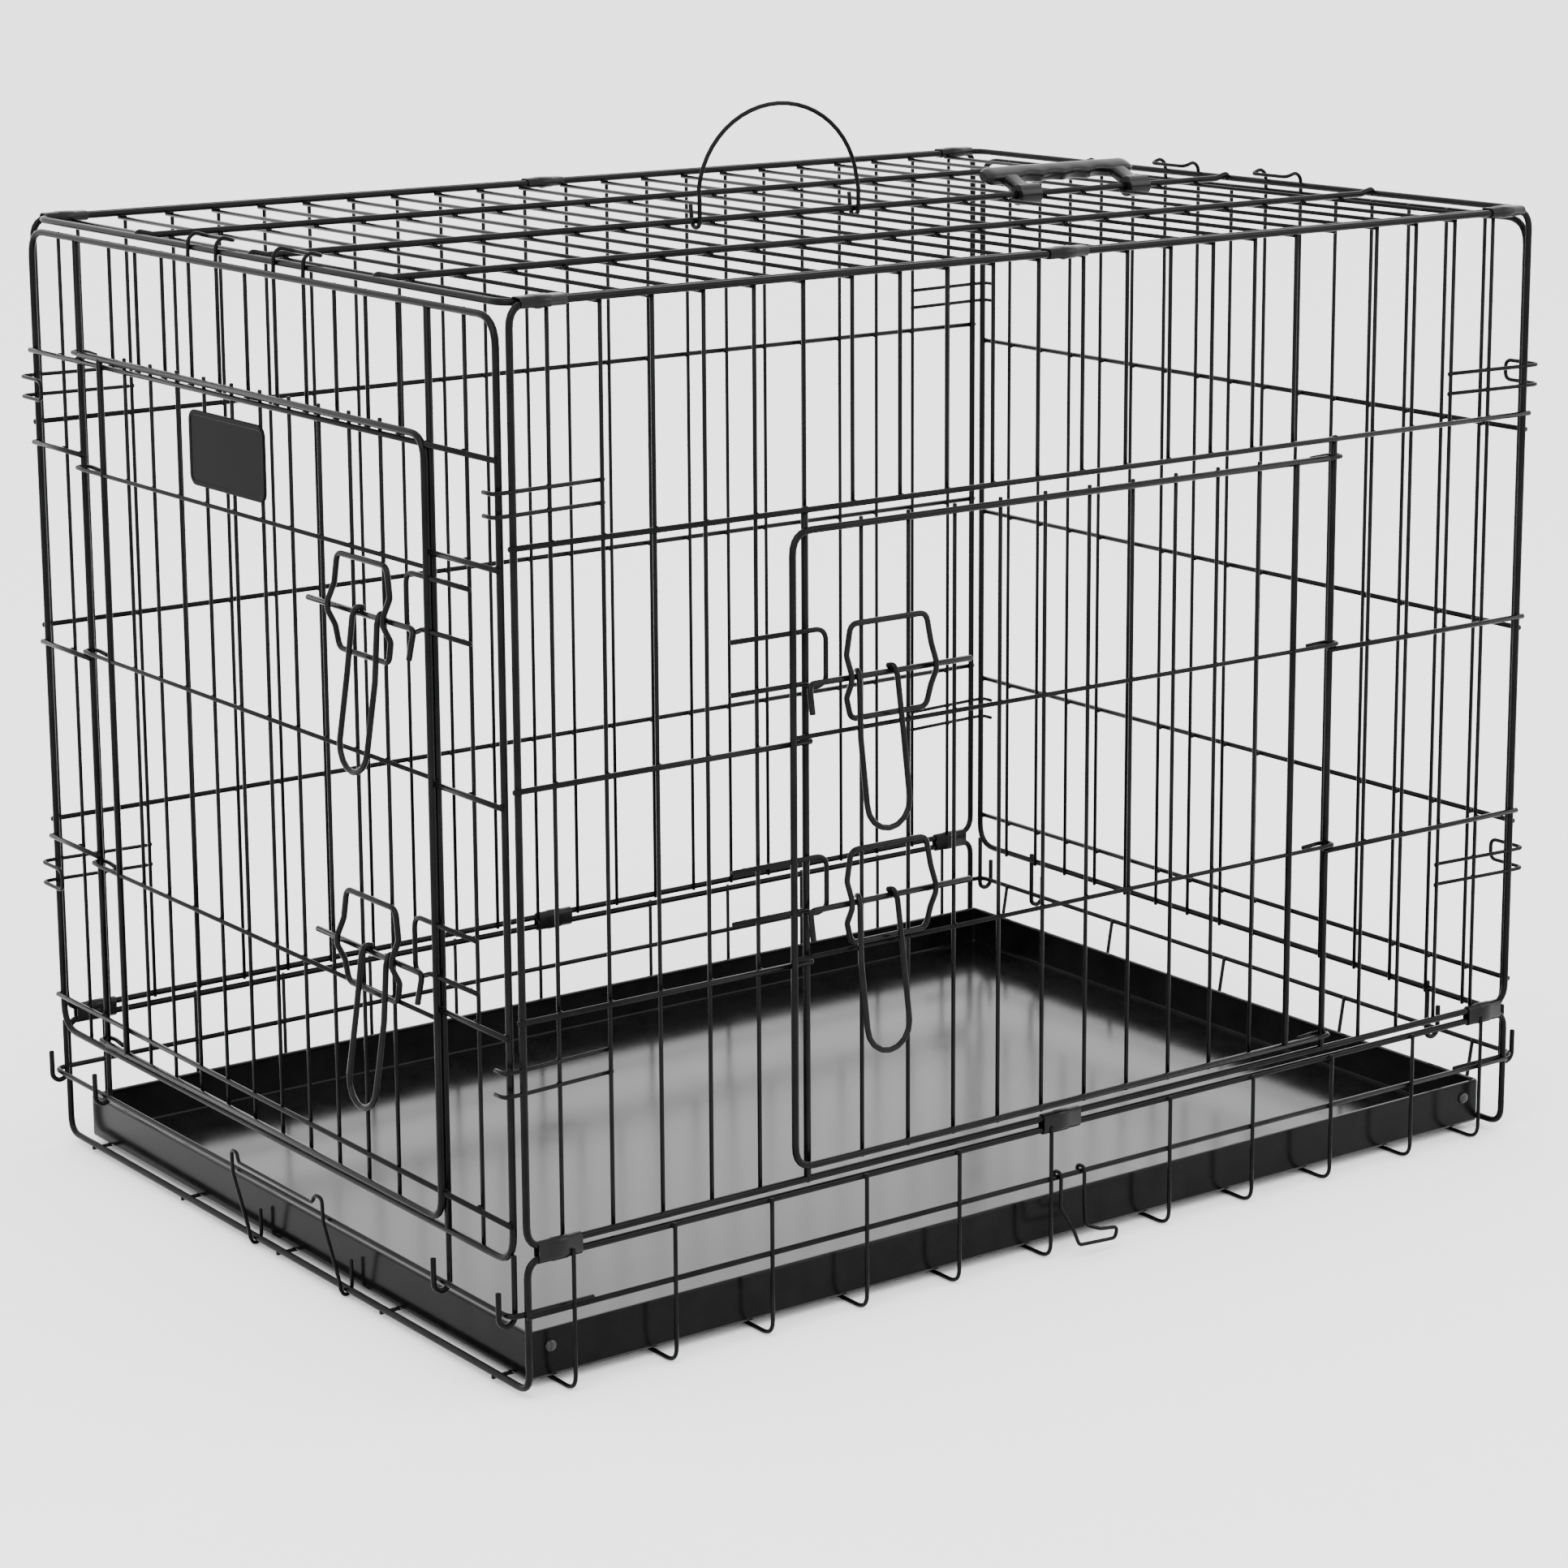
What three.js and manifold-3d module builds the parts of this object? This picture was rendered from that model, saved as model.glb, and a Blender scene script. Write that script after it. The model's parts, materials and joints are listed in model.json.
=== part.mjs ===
// Folding wire dog crate: welded wire panels on a wire base, two hinged doors with slide bolts,
// a pull-out tray, a wire bail and a moulded carry handle on the top rail.
//
// Millimetres, +Z up. Every piece is placed from the crate's near front bottom corner:
// X runs from the front end panel to the rear end panel, Y from the near long side to the far one.
// The exported group moves that corner, so that the origin lies on the floor under the middle
// of the whole crate, its latches and hooks included.
import * as THREE from 'three';
import { mergeVertices } from 'three/addons/utils/BufferGeometryUtils.js';
import Module from 'manifold-3d';

const wasm = await Module();
wasm.setup();

// ---- driving dimensions ----
const LENGTH = 910;
const WIDTH = 668;
const HEIGHT = 724;
const ORIGIN = { x: 446.5, y: 320 };

const FRAME_WIRE = 5;
const RAIL_WIRE = 4;
const GRID_WIRE = 3;
const HOOK_WIRE = 2.6;
const PITCH = 40;
const HALF_FRAME = FRAME_WIRE / 2;
const INNER_FRAME_WIRE = FRAME_WIRE - 0.1;
const WELD = 0.5;
const GAP = 0.5;

// long side panels
const SIDE_BOTTOM = 106;
const SIDE_RAILS = [260, 413, 570];
const SIDE_GRID_START = 32;
const SIDE_RAIL_Y = 1.5;
const SIDE_GRID_Y = 4.5;
const RAIL_STUB = 2;

// end panels
const END_OUT = 3;
const END_TOP = 711;
const END_BOTTOM = 95;
const END_RAILS = [122, 249, 402, 556];
const END_EDGE = 12.5;
const END_GRID_COUNT = 16;
const END_GRID_OUT = 1;
const END_RAIL_OUT = 4;
const END_HEADER = 626;
const END_HOOK_AT = [END_EDGE, 91, 585, WIDTH - END_EDGE];
const POST_CLEARANCE = 12;
const END_LOOP_FIRST = [6, 9];
const END_LOOP_REACH = 25;
const END_LOOP_WIRE = 2.8;

// base
const BASE_TOP = 98;
const SKIRT_RAIL_Z = 60;
const SKIRT_RAIL_Y = 1;
const SKIRT_WIRE_Y = -1;
const FLOOR_RAIL_Z = 6.8;
const FLOOR_RUNNER_Z = 4.25;
const FLOOR_RUNNERS = [45, 190, 335, 480, 625];
const CROSS_WIRES = [36, 117, 197, 278, 360, 444, 557, 639, 719, 804, 878];
const END_RAIL_Z = 61;
const END_RAIL_REACH = 10;
const END_RAIL_RETURN = 55;
const END_RAIL_Y = 4;

// doors, both measured from their hinge wire
const DOOR_WIDTH = 495;
const DOOR_INNER_POST = 42;
const DOOR_GRID_START = 76;
const DOOR_GRID_COUNT = 10;
const HINGE_LOOP = 5.5;
const DOOR_RAIL_OUT = HINGE_LOOP;
const DOOR_GRID_OUT = 8.2;
const DOOR_FRAME_OUT = 9;
const SIDE_HINGE_X = 711;
const SIDE_LATCH_POST_X = 230;
const SIDE_DOOR_RAILS = [264.5, 417.5];
const SIDE_DOOR_SPAN = [117, 557];
const FRONT_HINGE_Y = 585;
const FRONT_LATCH_POST_Y = 91;
const FRONT_DOOR_RAILS = [243, 406.5, 546];
const FRONT_DOOR_SPAN = [103, 632];

// latches, measured from the hinge wire of their door
const SIDE_BOLTS = [297, 452];
const FRONT_BOLTS = [272, 504];
const BOLT_WIRE = 4;
const BOLT_OUT = 14;
const BOLT_SPAN = [347, 485];
const BOLT_TAIL = 24;
const PULL_AT = [415, 443];
const PULL_DROP = 103;
const PULL_LEAN = 14;
const GUIDE_SPAN = [376, 458];
const GUIDE_ABOVE = 34;
const GUIDE_BELOW = 30;
const GUIDE_OUT = 12.8;
const GUIDE_BULGE = 19;
const KEEPER_SPAN = [469, 545];
const KEEPER_OUT = 4.3;
const KEEPER_ABOVE = 31;
const KEEPER_BELOW = 3;

// top
const TOP_EDGE_Y = 9;
const TOP_END_X = 3;
const TOP_RAIL_OFFSET = 167;
const TOP_GRID_Z = HEIGHT - HALF_FRAME - GRID_WIRE / 2 + WELD;

// tray
const TRAY = { x0: 12, x1: 900, y0: 19, y1: 650, z0: 6.2, z1: 40, sheet: 2, lip: 4 };
const RIVET_INSET = 18;
const RIVET_Z = 28;

// corner clips that pair two rails
const CLIP_LENGTH = 21;
const CLIP_SHEET = 1.2;
const CLIP_GAP = 0.35;
const CLIP_AT = [17, 458, LENGTH - 17];

// handles and hooks
const BAIL_FEET = [377, 524];
const BAIL_RISE = 83;
const BAIL_WIRE = 3.4;
const BAIL_LOOP = 5.4;
const GRIP_FEET = [694, 806];
const BARREL_LENGTH = 21;
const GRIP_SPAN = [672, 822];
const GRIP_REACH = 38;
const GRIP_TILT = THREE.MathUtils.degToRad(25);
const TRAY_STOP_LEGS = [240, 370];
const TRAY_STOP_TOP = 72;
const CLOSURE_FEET = [452, 474];

// ---- solids ----
// Coordinates snap to 1/1024 mm, which 32-bit numbers hold exactly, so flush faces stay flush.
const SNAP = 1024;

function solid(geometry) {
  geometry.deleteAttribute('normal');
  geometry.deleteAttribute('uv');
  const position = geometry.getAttribute('position');
  position.array.forEach((value, i) => {
    position.array[i] = Math.round(value * SNAP) / SNAP;
  });
  const merged = mergeVertices(geometry, 1e-4);
  return new wasm.Manifold(new wasm.Mesh({
    numProp: 3,
    vertProperties: new Float32Array(merged.attributes.position.array),
    triVerts: new Uint32Array(merged.index.array),
  }));
}

function join(solids) {
  return solids.reduce((whole, next) => whole.add(next));
}

function box(low, high) {
  const size = high.map((value, i) => value - low[i]);
  const geometry = new THREE.BoxGeometry(...size);
  geometry.translate(...low.map((value, i) => value + size[i] / 2));
  return solid(geometry);
}

// A straight square wire between two points, lengthened at either end where it meets a bend.
function bar(from, to, size, before = 0, after = 0) {
  const a = new THREE.Vector3(...from);
  const b = new THREE.Vector3(...to);
  const along = b.clone().sub(a).normalize();
  a.addScaledVector(along, -before);
  b.addScaledVector(along, after);
  const length = a.distanceTo(b);
  const spans = [0, 1, 2].map((axis) => Math.abs(b.getComponent(axis) - a.getComponent(axis)));
  const straight = spans.filter((span) => span > 1e-6).length === 1;
  const geometry = straight
    ? new THREE.BoxGeometry(...spans.map((span) => (span > 1e-6 ? span : size)))
    : new THREE.BoxGeometry(size, size, length);
  if (!straight) {
    const turn = new THREE.Quaternion().setFromUnitVectors(new THREE.Vector3(0, 0, 1), along);
    geometry.applyQuaternion(turn);
  }
  const middle = a.add(b).multiplyScalar(0.5);
  geometry.translate(middle.x, middle.y, middle.z);
  return solid(geometry);
}

// A bent square wire through the points, in order. Every other stretch is a hair thinner,
// so that no two faces at a bend are flush.
function wire(points, size, closed = false) {
  const route = closed ? [...points, points[0]] : points;
  const bars = [];
  for (let i = 0; i + 1 < route.length; i += 1) {
    const thinner = i % 2 === 1;
    const lap = thinner ? size / 2 - 0.2 : size / 2;
    const before = i > 0 || closed ? lap : 0;
    const after = i + 2 < route.length || closed ? lap : 0;
    bars.push(bar(route[i], route[i + 1], thinner ? size - 0.1 : size, before, after));
  }
  return join(bars);
}

// A rectangular frame of square wire round the centre lines u0..u1 and v0..v1.
// The matrix lays the frame's own u, v and thickness along the crate's axes.
function frameRing([u0, u1], [v0, v1], size, basis, offset) {
  const outline = (reach) => [
    new THREE.Vector2(u0 - reach, v0 - reach),
    new THREE.Vector2(u1 + reach, v0 - reach),
    new THREE.Vector2(u1 + reach, v1 + reach),
    new THREE.Vector2(u0 - reach, v1 + reach),
  ];
  const shape = new THREE.Shape(outline(size / 2));
  shape.holes.push(new THREE.Path(outline(-size / 2)));
  const geometry = new THREE.ExtrudeGeometry(shape, { depth: size, bevelEnabled: false });
  geometry.translate(0, 0, -size / 2);
  geometry.applyMatrix4(basis);
  geometry.translate(...offset);
  return solid(geometry);
}

const alongX = new THREE.Vector3(1, 0, 0);
const alongY = new THREE.Vector3(0, 1, 0);
const alongZ = new THREE.Vector3(0, 0, 1);
const FLAT = new THREE.Matrix4().makeBasis(alongX, alongY, alongZ);
const ALONG_SIDE = new THREE.Matrix4().makeBasis(alongX, alongZ, alongY.clone().negate());
const ACROSS_END = new THREE.Matrix4().makeBasis(alongY, alongZ, alongX);

function geometryOf(body) {
  const mesh = body.getMesh();
  const geometry = new THREE.BufferGeometry();
  geometry.setAttribute('position', new THREE.BufferAttribute(mesh.vertProperties, 3));
  geometry.setIndex(new THREE.BufferAttribute(mesh.triVerts, 1));
  geometry.computeVertexNormals();
  return geometry;
}

const ENAMEL = { color: 0x111214, roughness: 0.35, metalness: 0.1 };
const BRIGHT_ENAMEL = { color: 0x17181a, roughness: 0.28, metalness: 0.2 };
const TRAY_BLACK = { color: 0x0c0c0d, roughness: 0.3, metalness: 0.0 };
const GRIP_BLACK = { color: 0x151515, roughness: 0.55, metalness: 0.0 };

const crate = new THREE.Group();
crate.position.set(-ORIGIN.x, -ORIGIN.y, 0);

function piece(name, body, finish, parent = crate) {
  const mesh = new THREE.Mesh(geometryOf(body), new THREE.MeshStandardMaterial(finish));
  mesh.name = name;
  parent.add(mesh);
  return mesh;
}

// ---- long side panels, drawn for the near side ----
const sideGridXs = [];
for (let x = SIDE_GRID_START; x < LENGTH - PITCH / 2; x += PITCH) {
  sideGridXs.push(x);
}

function upright(x, y, low, high, size) {
  return bar([x, y, low], [x, y, high], size);
}

// Hooks that reach round the end panel's corner wire: two short ones, or one closed bow.
function cornerHooks(x, out, closed) {
  const reach = closed ? 36 : 13;
  const front = x - out * 12.5;
  const back = x + out * 74;
  return [[591, 606], [212, 228]].map(([low, high]) => {
    const route = (z) => [[back, 1.75, z], [front, 1.75, z], [front, reach, z]];
    return closed
      ? wire([...route(low), ...route(high).reverse()], GRID_WIRE)
      : join([wire(route(low), GRID_WIRE), wire(route(high), GRID_WIRE)]);
  });
}

function sidePanel(hasDoor) {
  const inside = (x) => hasDoor && x > SIDE_LATCH_POST_X && x < SIDE_HINGE_X + HALF_FRAME;
  const header = SIDE_RAILS[SIDE_RAILS.length - 1];
  const left = HALF_FRAME;
  const right = LENGTH - HALF_FRAME;
  const top = HEIGHT;
  const bodies = [
    frameRing([left, right], [SIDE_BOTTOM, top], FRAME_WIRE, ALONG_SIDE, [0, HALF_FRAME, 0]),
  ];
  for (const z of SIDE_RAILS) {
    const ends = [-RAIL_STUB, LENGTH + RAIL_STUB];
    const spans = hasDoor && z < header
      ? [[ends[0], SIDE_LATCH_POST_X], [SIDE_HINGE_X, ends[1]]]
      : [ends];
    for (const [from, to] of spans) {
      bodies.push(bar([from, SIDE_RAIL_Y, z], [to, SIDE_RAIL_Y, z], RAIL_WIRE));
    }
  }
  for (const x of sideGridXs) {
    const low = inside(x) ? header : SIDE_BOTTOM;
    bodies.push(upright(x, SIDE_GRID_Y, low, top, GRID_WIRE));
  }
  if (hasDoor) {
    for (const x of [SIDE_LATCH_POST_X, SIDE_HINGE_X]) {
      bodies.push(upright(x, HALF_FRAME, SIDE_BOTTOM, header, INNER_FRAME_WIRE));
    }
  }
  bodies.push(...cornerHooks(0, 1, false));
  bodies.push(...cornerHooks(LENGTH, -1, true));
  return join(bodies);
}

piece('near_side_panel', sidePanel(true), ENAMEL);

const farSide = new THREE.Group();
farSide.position.set(LENGTH, WIDTH, 0);
farSide.rotation.z = Math.PI;
crate.add(farSide);
piece('far_side_panel', sidePanel(false), ENAMEL, farSide);

// ---- end panels ----
// "out" is the distance in front of the crate's end plane; the rear panel mirrors it.
const frontX = (out) => -out;
const rearX = (out) => LENGTH + out;
const endGridYs = [];
for (let i = 0; i <= END_GRID_COUNT; i += 1) {
  endGridYs.push(END_EDGE + ((WIDTH - 2 * END_EDGE) * i) / END_GRID_COUNT);
}

function endPanel(xAt, hasDoor) {
  const inside = (y) => hasDoor && y > FRONT_LATCH_POST_Y - 4 && y < FRONT_HINGE_Y + 4;
  const far = WIDTH - END_EDGE;
  const frame = xAt(END_OUT);
  const bodies = [
    frameRing([END_EDGE, far], [END_BOTTOM, END_TOP], FRAME_WIRE, ACROSS_END, [frame, 0, 0]),
  ];
  const rail = xAt(END_RAIL_OUT);
  const stubs = [END_EDGE - 2, far + 2];
  END_RAILS.forEach((z, i) => {
    const spans = hasDoor && i > 0
      ? [[stubs[0], FRONT_LATCH_POST_Y], [FRONT_HINGE_Y, stubs[1]]]
      : [stubs];
    for (const [from, to] of spans) {
      bodies.push(bar([rail, from, z], [rail, to, z], RAIL_WIRE));
    }
  });
  if (hasDoor) {
    bodies.push(bar([rail, stubs[0], END_HEADER], [rail, stubs[1], END_HEADER], RAIL_WIRE));
    for (const y of [FRONT_LATCH_POST_Y, FRONT_HINGE_Y]) {
      bodies.push(upright(frame, y, END_BOTTOM, END_TOP, INNER_FRAME_WIRE));
    }
  }
  const grid = xAt(END_GRID_OUT);
  const posts = hasDoor ? [FRONT_LATCH_POST_Y, FRONT_HINGE_Y] : [];
  const besidePost = (y) => posts.some((post) => Math.abs(y - post) < POST_CLEARANCE);
  for (const y of endGridYs.slice(1, -1).filter((each) => !besidePost(each))) {
    const low = inside(y) ? END_HEADER : END_BOTTOM;
    bodies.push(upright(grid, y, low, END_TOP, GRID_WIRE));
  }
  const under = END_RAIL_Z - HINGE_LOOP - 1;
  const tail = xAt(2 * END_RAIL_REACH - END_OUT);
  for (const y of END_HOOK_AT) {
    const route = [[frame, y, END_BOTTOM], [frame, y, under], [tail, y, under], [tail, y, END_RAIL_Z + 20]];
    bodies.push(wire(route, RAIL_WIRE));
  }
  const loopTip = xAt(END_OUT - END_LOOP_REACH);
  const loopZ = END_TOP + 0.8;
  for (const first of END_LOOP_FIRST) {
    const [near, away] = [endGridYs[first], endGridYs[first + 1]];
    bodies.push(wire([[frame, near, loopZ], [loopTip, near, loopZ], [loopTip, away, loopZ],
      [frame, away, loopZ]], END_LOOP_WIRE));
  }
  return join(bodies);
}

piece('front_end_panel', endPanel(frontX, true), ENAMEL);
piece('rear_end_panel', endPanel(rearX, false), ENAMEL);

// ---- base ----
function baseFrame() {
  const bodies = [];
  const ends = [HALF_FRAME, LENGTH - HALF_FRAME];
  const sides = [
    { frameY: HALF_FRAME, railY: SKIRT_RAIL_Y, wireY: SKIRT_WIRE_Y },
    { frameY: WIDTH - HALF_FRAME, railY: WIDTH - SKIRT_RAIL_Y, wireY: WIDTH - SKIRT_WIRE_Y },
  ];
  for (const { frameY, railY } of sides) {
    bodies.push(wire([[ends[0], frameY, FLOOR_RAIL_Z], [ends[0], frameY, BASE_TOP],
      [ends[1], frameY, BASE_TOP], [ends[1], frameY, FLOOR_RAIL_Z]], FRAME_WIRE));
    bodies.push(bar([1, railY, SKIRT_RAIL_Z], [LENGTH - 1, railY, SKIRT_RAIL_Z], RAIL_WIRE));
  }
  for (const x of ends) {
    bodies.push(bar([x, 1, FLOOR_RAIL_Z], [x, WIDTH - 1, FLOOR_RAIL_Z], INNER_FRAME_WIRE));
  }
  for (const x of CROSS_WIRES) {
    const foot = GRID_WIRE / 2;
    bodies.push(wire([[x, sides[0].wireY, BASE_TOP], [x, sides[0].wireY, foot],
      [x, sides[1].wireY, foot], [x, sides[1].wireY, BASE_TOP]], GRID_WIRE));
  }
  for (const y of FLOOR_RUNNERS) {
    bodies.push(wire([[HALF_FRAME, y, FLOOR_RUNNER_Z], [LENGTH, y, FLOOR_RUNNER_Z],
      [rearX(END_RAIL_REACH - 2), y, END_RAIL_Z - 2]], GRID_WIRE));
  }
  for (const [xAt, back] of [[frontX, 1], [rearX, -1]]) {
    const out = xAt(END_RAIL_REACH);
    const tip = xAt(0) + back * END_RAIL_RETURN;
    bodies.push(wire([[tip, END_RAIL_Y, END_RAIL_Z], [out, END_RAIL_Y, END_RAIL_Z],
      [out, WIDTH - END_RAIL_Y, END_RAIL_Z], [tip, WIDTH - END_RAIL_Y, END_RAIL_Z]], RAIL_WIRE));
  }
  return join(bodies);
}

piece('base_frame', baseFrame(), ENAMEL);

// ---- top panel ----
function topPanel() {
  const ends = [TOP_END_X, LENGTH - TOP_END_X];
  const edges = [TOP_EDGE_Y, WIDTH - TOP_EDGE_Y];
  const bodies = [
    frameRing(ends, edges, FRAME_WIRE, FLAT, [0, 0, HEIGHT]),
  ];
  for (const offset of [-TOP_RAIL_OFFSET, 0, TOP_RAIL_OFFSET]) {
    const y = WIDTH / 2 + offset;
    bodies.push(bar([ends[0], y, HEIGHT], [ends[1], y, HEIGHT], INNER_FRAME_WIRE));
  }
  for (const x of sideGridXs) {
    bodies.push(bar([x, edges[0], TOP_GRID_Z], [x, edges[1], TOP_GRID_Z], GRID_WIRE));
  }
  return join(bodies);
}

piece('top_panel', topPanel(), ENAMEL);

// ---- doors and their latches ----
// A door is drawn by "reach" from its hinge wire, "out" from the hinge axis, and height.
const sideDoorPoint = (reach, out, z) => [SIDE_HINGE_X - reach, HALF_FRAME - out, z];
const frontDoorPoint = (reach, out, z) => [frontX(END_OUT) - out, FRONT_HINGE_Y - reach, z];

function door(at, [low, high], rails) {
  const bodies = [];
  const hingeEnd = 8;
  const side = DOOR_FRAME_OUT;
  bodies.push(wire([at(hingeEnd, side, low), at(DOOR_WIDTH, side, low),
    at(DOOR_WIDTH, side, high), at(hingeEnd, side, high)], FRAME_WIRE));
  bodies.push(bar(at(DOOR_INNER_POST, side, low), at(DOOR_INNER_POST, side, high), INNER_FRAME_WIRE));
  for (let i = 0; i < DOOR_GRID_COUNT; i += 1) {
    const reach = DOOR_GRID_START + PITCH * i;
    bodies.push(bar(at(reach, DOOR_GRID_OUT, low), at(reach, DOOR_GRID_OUT, high), GRID_WIRE));
  }
  for (const z of [low, ...rails, high]) {
    const span = rails.includes(z) ? DOOR_WIDTH : DOOR_INNER_POST;
    bodies.push(wire([at(span, DOOR_RAIL_OUT, z), at(-HINGE_LOOP, DOOR_RAIL_OUT, z),
      at(-HINGE_LOOP, -HINGE_LOOP, z), at(HINGE_LOOP - 2, -HINGE_LOOP, z)], GRID_WIRE));
  }
  return join(bodies);
}

function guide(at, z) {
  const [near, far] = GUIDE_SPAN;
  const top = z + GUIDE_ABOVE;
  const bottom = z - GUIDE_BELOW;
  return wire([
    at(near + 14, GUIDE_OUT, top), at(near, GUIDE_BULGE, z + 12), at(near + 4, GUIDE_BULGE, z),
    at(near, GUIDE_BULGE, z - 12), at(near + 14, GUIDE_OUT, bottom), at(far - 14, GUIDE_OUT, bottom),
    at(far, GUIDE_BULGE, z - 12), at(far - 4, GUIDE_BULGE, z), at(far, GUIDE_BULGE, z + 12),
    at(far - 14, GUIDE_OUT, top),
  ], RAIL_WIRE, true);
}

function bolt(at, z) {
  const [inner, tip] = BOLT_SPAN;
  const [first, last] = PULL_AT;
  const rod = wire([
    at(inner, BOLT_OUT, z), at(tip, BOLT_OUT, z), at(tip, BOLT_OUT + 5, z - BOLT_TAIL),
  ], BOLT_WIRE);
  const root = BOLT_OUT + 2;
  const low = z - PULL_DROP;
  const pull = wire([
    at(first, root, z), at(first - 4, root + PULL_LEAN - 2, low + 13), at(first + 7, root + PULL_LEAN, low),
    at(last - 7, root + PULL_LEAN, low), at(last + 4, root + PULL_LEAN - 2, low + 13), at(last, root, z),
  ], BOLT_WIRE);
  return rod.add(pull);
}

function keeper(at, z) {
  const [closed, open] = KEEPER_SPAN;
  const top = z + KEEPER_ABOVE;
  const bottom = z - KEEPER_BELOW;
  return wire([at(open, KEEPER_OUT, top), at(closed, KEEPER_OUT, top),
    at(closed, KEEPER_OUT, bottom), at(open, KEEPER_OUT, bottom)], GRID_WIRE);
}

piece('side_door', door(sideDoorPoint, SIDE_DOOR_SPAN, SIDE_DOOR_RAILS), ENAMEL);
piece('front_door', door(frontDoorPoint, FRONT_DOOR_SPAN, FRONT_DOOR_RAILS), ENAMEL);

const latchSets = [
  ['side', sideDoorPoint, SIDE_BOLTS],
  ['front', frontDoorPoint, FRONT_BOLTS],
];
for (const [side, at, heights] of latchSets) {
  ['lower', 'upper'].forEach((level, i) => {
    piece(`${side}_${level}_bolt`, bolt(at, heights[i]), BRIGHT_ENAMEL);
    piece(`${side}_${level}_guide`, guide(at, heights[i]), BRIGHT_ENAMEL);
    piece(`${side}_${level}_keeper`, keeper(at, heights[i]), ENAMEL);
  });
}

// Blank plate on the front door, in front of its grid wires.
function badgePlate() {
  const low = { reach: 177, z: 558 };
  const high = { reach: 285, z: 612 };
  const radius = 6;
  const shape = new THREE.Shape();
  shape.moveTo(low.reach + radius, low.z);
  shape.lineTo(high.reach - radius, low.z);
  shape.absarc(high.reach - radius, low.z + radius, radius, -Math.PI / 2, 0);
  shape.absarc(high.reach - radius, high.z - radius, radius, 0, Math.PI / 2);
  shape.absarc(low.reach + radius, high.z - radius, radius, Math.PI / 2, Math.PI);
  shape.absarc(low.reach + radius, low.z + radius, radius, Math.PI, 1.5 * Math.PI);
  const geometry = new THREE.ExtrudeGeometry(shape, { depth: 2, bevelEnabled: false, curveSegments: 4 });
  // shape x runs along the door's reach, shape y is height, and the depth points out of the door
  const toDoor = new THREE.Matrix4().makeBasis(
    new THREE.Vector3(0, -1, 0),
    new THREE.Vector3(0, 0, 1),
    new THREE.Vector3(-1, 0, 0),
  );
  geometry.applyMatrix4(toDoor);
  const clear = DOOR_GRID_OUT + GRID_WIRE / 2 + GAP;
  geometry.translate(frontX(END_OUT) - clear, FRONT_HINGE_Y, 0);
  return solid(geometry);
}

piece('badge_plate', badgePlate(), { color: 0x0e0e10, roughness: 0.4, metalness: 0.1 });

// ---- tray ----
function tray() {
  const { x0, x1, y0, y1, z0, z1, sheet, lip } = TRAY;
  const outer = box([x0, y0, z0], [x1, y1, z1]);
  const inner = box([x0 + sheet, y0 + sheet, z0 + sheet], [x1 - sheet, y1 - sheet, z1 - sheet]);
  const mouth = box([x0 + lip, y0 + lip, z1 - sheet - 1], [x1 - lip, y1 - lip, z1 + 1]);
  return outer.subtract(inner).subtract(mouth);
}

piece('tray', tray(), TRAY_BLACK);

function rivet(x, y, out) {
  const profile = [[0, 0], [4.5, 0], [4.2, 1.2], [2.6, 2.2], [0, 2.6]];
  const geometry = new THREE.LatheGeometry(profile.map(([r, h]) => new THREE.Vector2(r, h)), 12);
  geometry.rotateX(out > 0 ? Math.PI : 0);
  geometry.translate(x, y, RIVET_Z);
  return solid(geometry);
}

for (const [sideName, y, out] of [['near', TRAY.y0 - 0.3, 1], ['far', TRAY.y1 + 0.3, -1]]) {
  for (const [endName, x] of [['front', TRAY.x0 + RIVET_INSET], ['rear', TRAY.x1 - RIVET_INSET]]) {
    piece(`tray_rivet_${sideName}_${endName}`, rivet(x, y, out), BRIGHT_ENAMEL);
  }
}

// ---- clips: sheet sleeves round two neighbouring rails ----
function clip(x, low, high) {
  const hole = [low.map((value) => value - CLIP_GAP), high.map((value) => value + CLIP_GAP)];
  const from = x - CLIP_LENGTH / 2;
  const to = x + CLIP_LENGTH / 2;
  const outer = box([from, ...hole[0].map((value) => value - CLIP_SHEET)],
    [to, ...hole[1].map((value) => value + CLIP_SHEET)]);
  const inner = box([from - 1, ...hole[0]], [to + 1, ...hole[1]]);
  return outer.subtract(inner);
}

const bottomRails = [[0, BASE_TOP - HALF_FRAME], [FRAME_WIRE, SIDE_BOTTOM + HALF_FRAME]];
const topRails = [[0, HEIGHT - HALF_FRAME], [TOP_EDGE_Y + HALF_FRAME, HEIGHT + HALF_FRAME]];
const mirrored = ([low, high]) => [[WIDTH - high[0], low[1]], [WIDTH - low[0], high[1]]];
const clipEdges = [
  ['near_bottom', bottomRails],
  ['near_top', topRails],
  ['far_bottom', mirrored(bottomRails)],
  ['far_top', mirrored(topRails)],
];
for (const [edge, [low, high]] of clipEdges) {
  ['front', 'middle', 'rear'].forEach((place, i) => {
    piece(`clip_${edge}_${place}`, clip(CLIP_AT[i], low, high), BRIGHT_ENAMEL);
  });
}

// ---- handles on the middle top rail ----
const RAIL_AXIS = { y: WIDTH / 2, z: HEIGHT };

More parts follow.
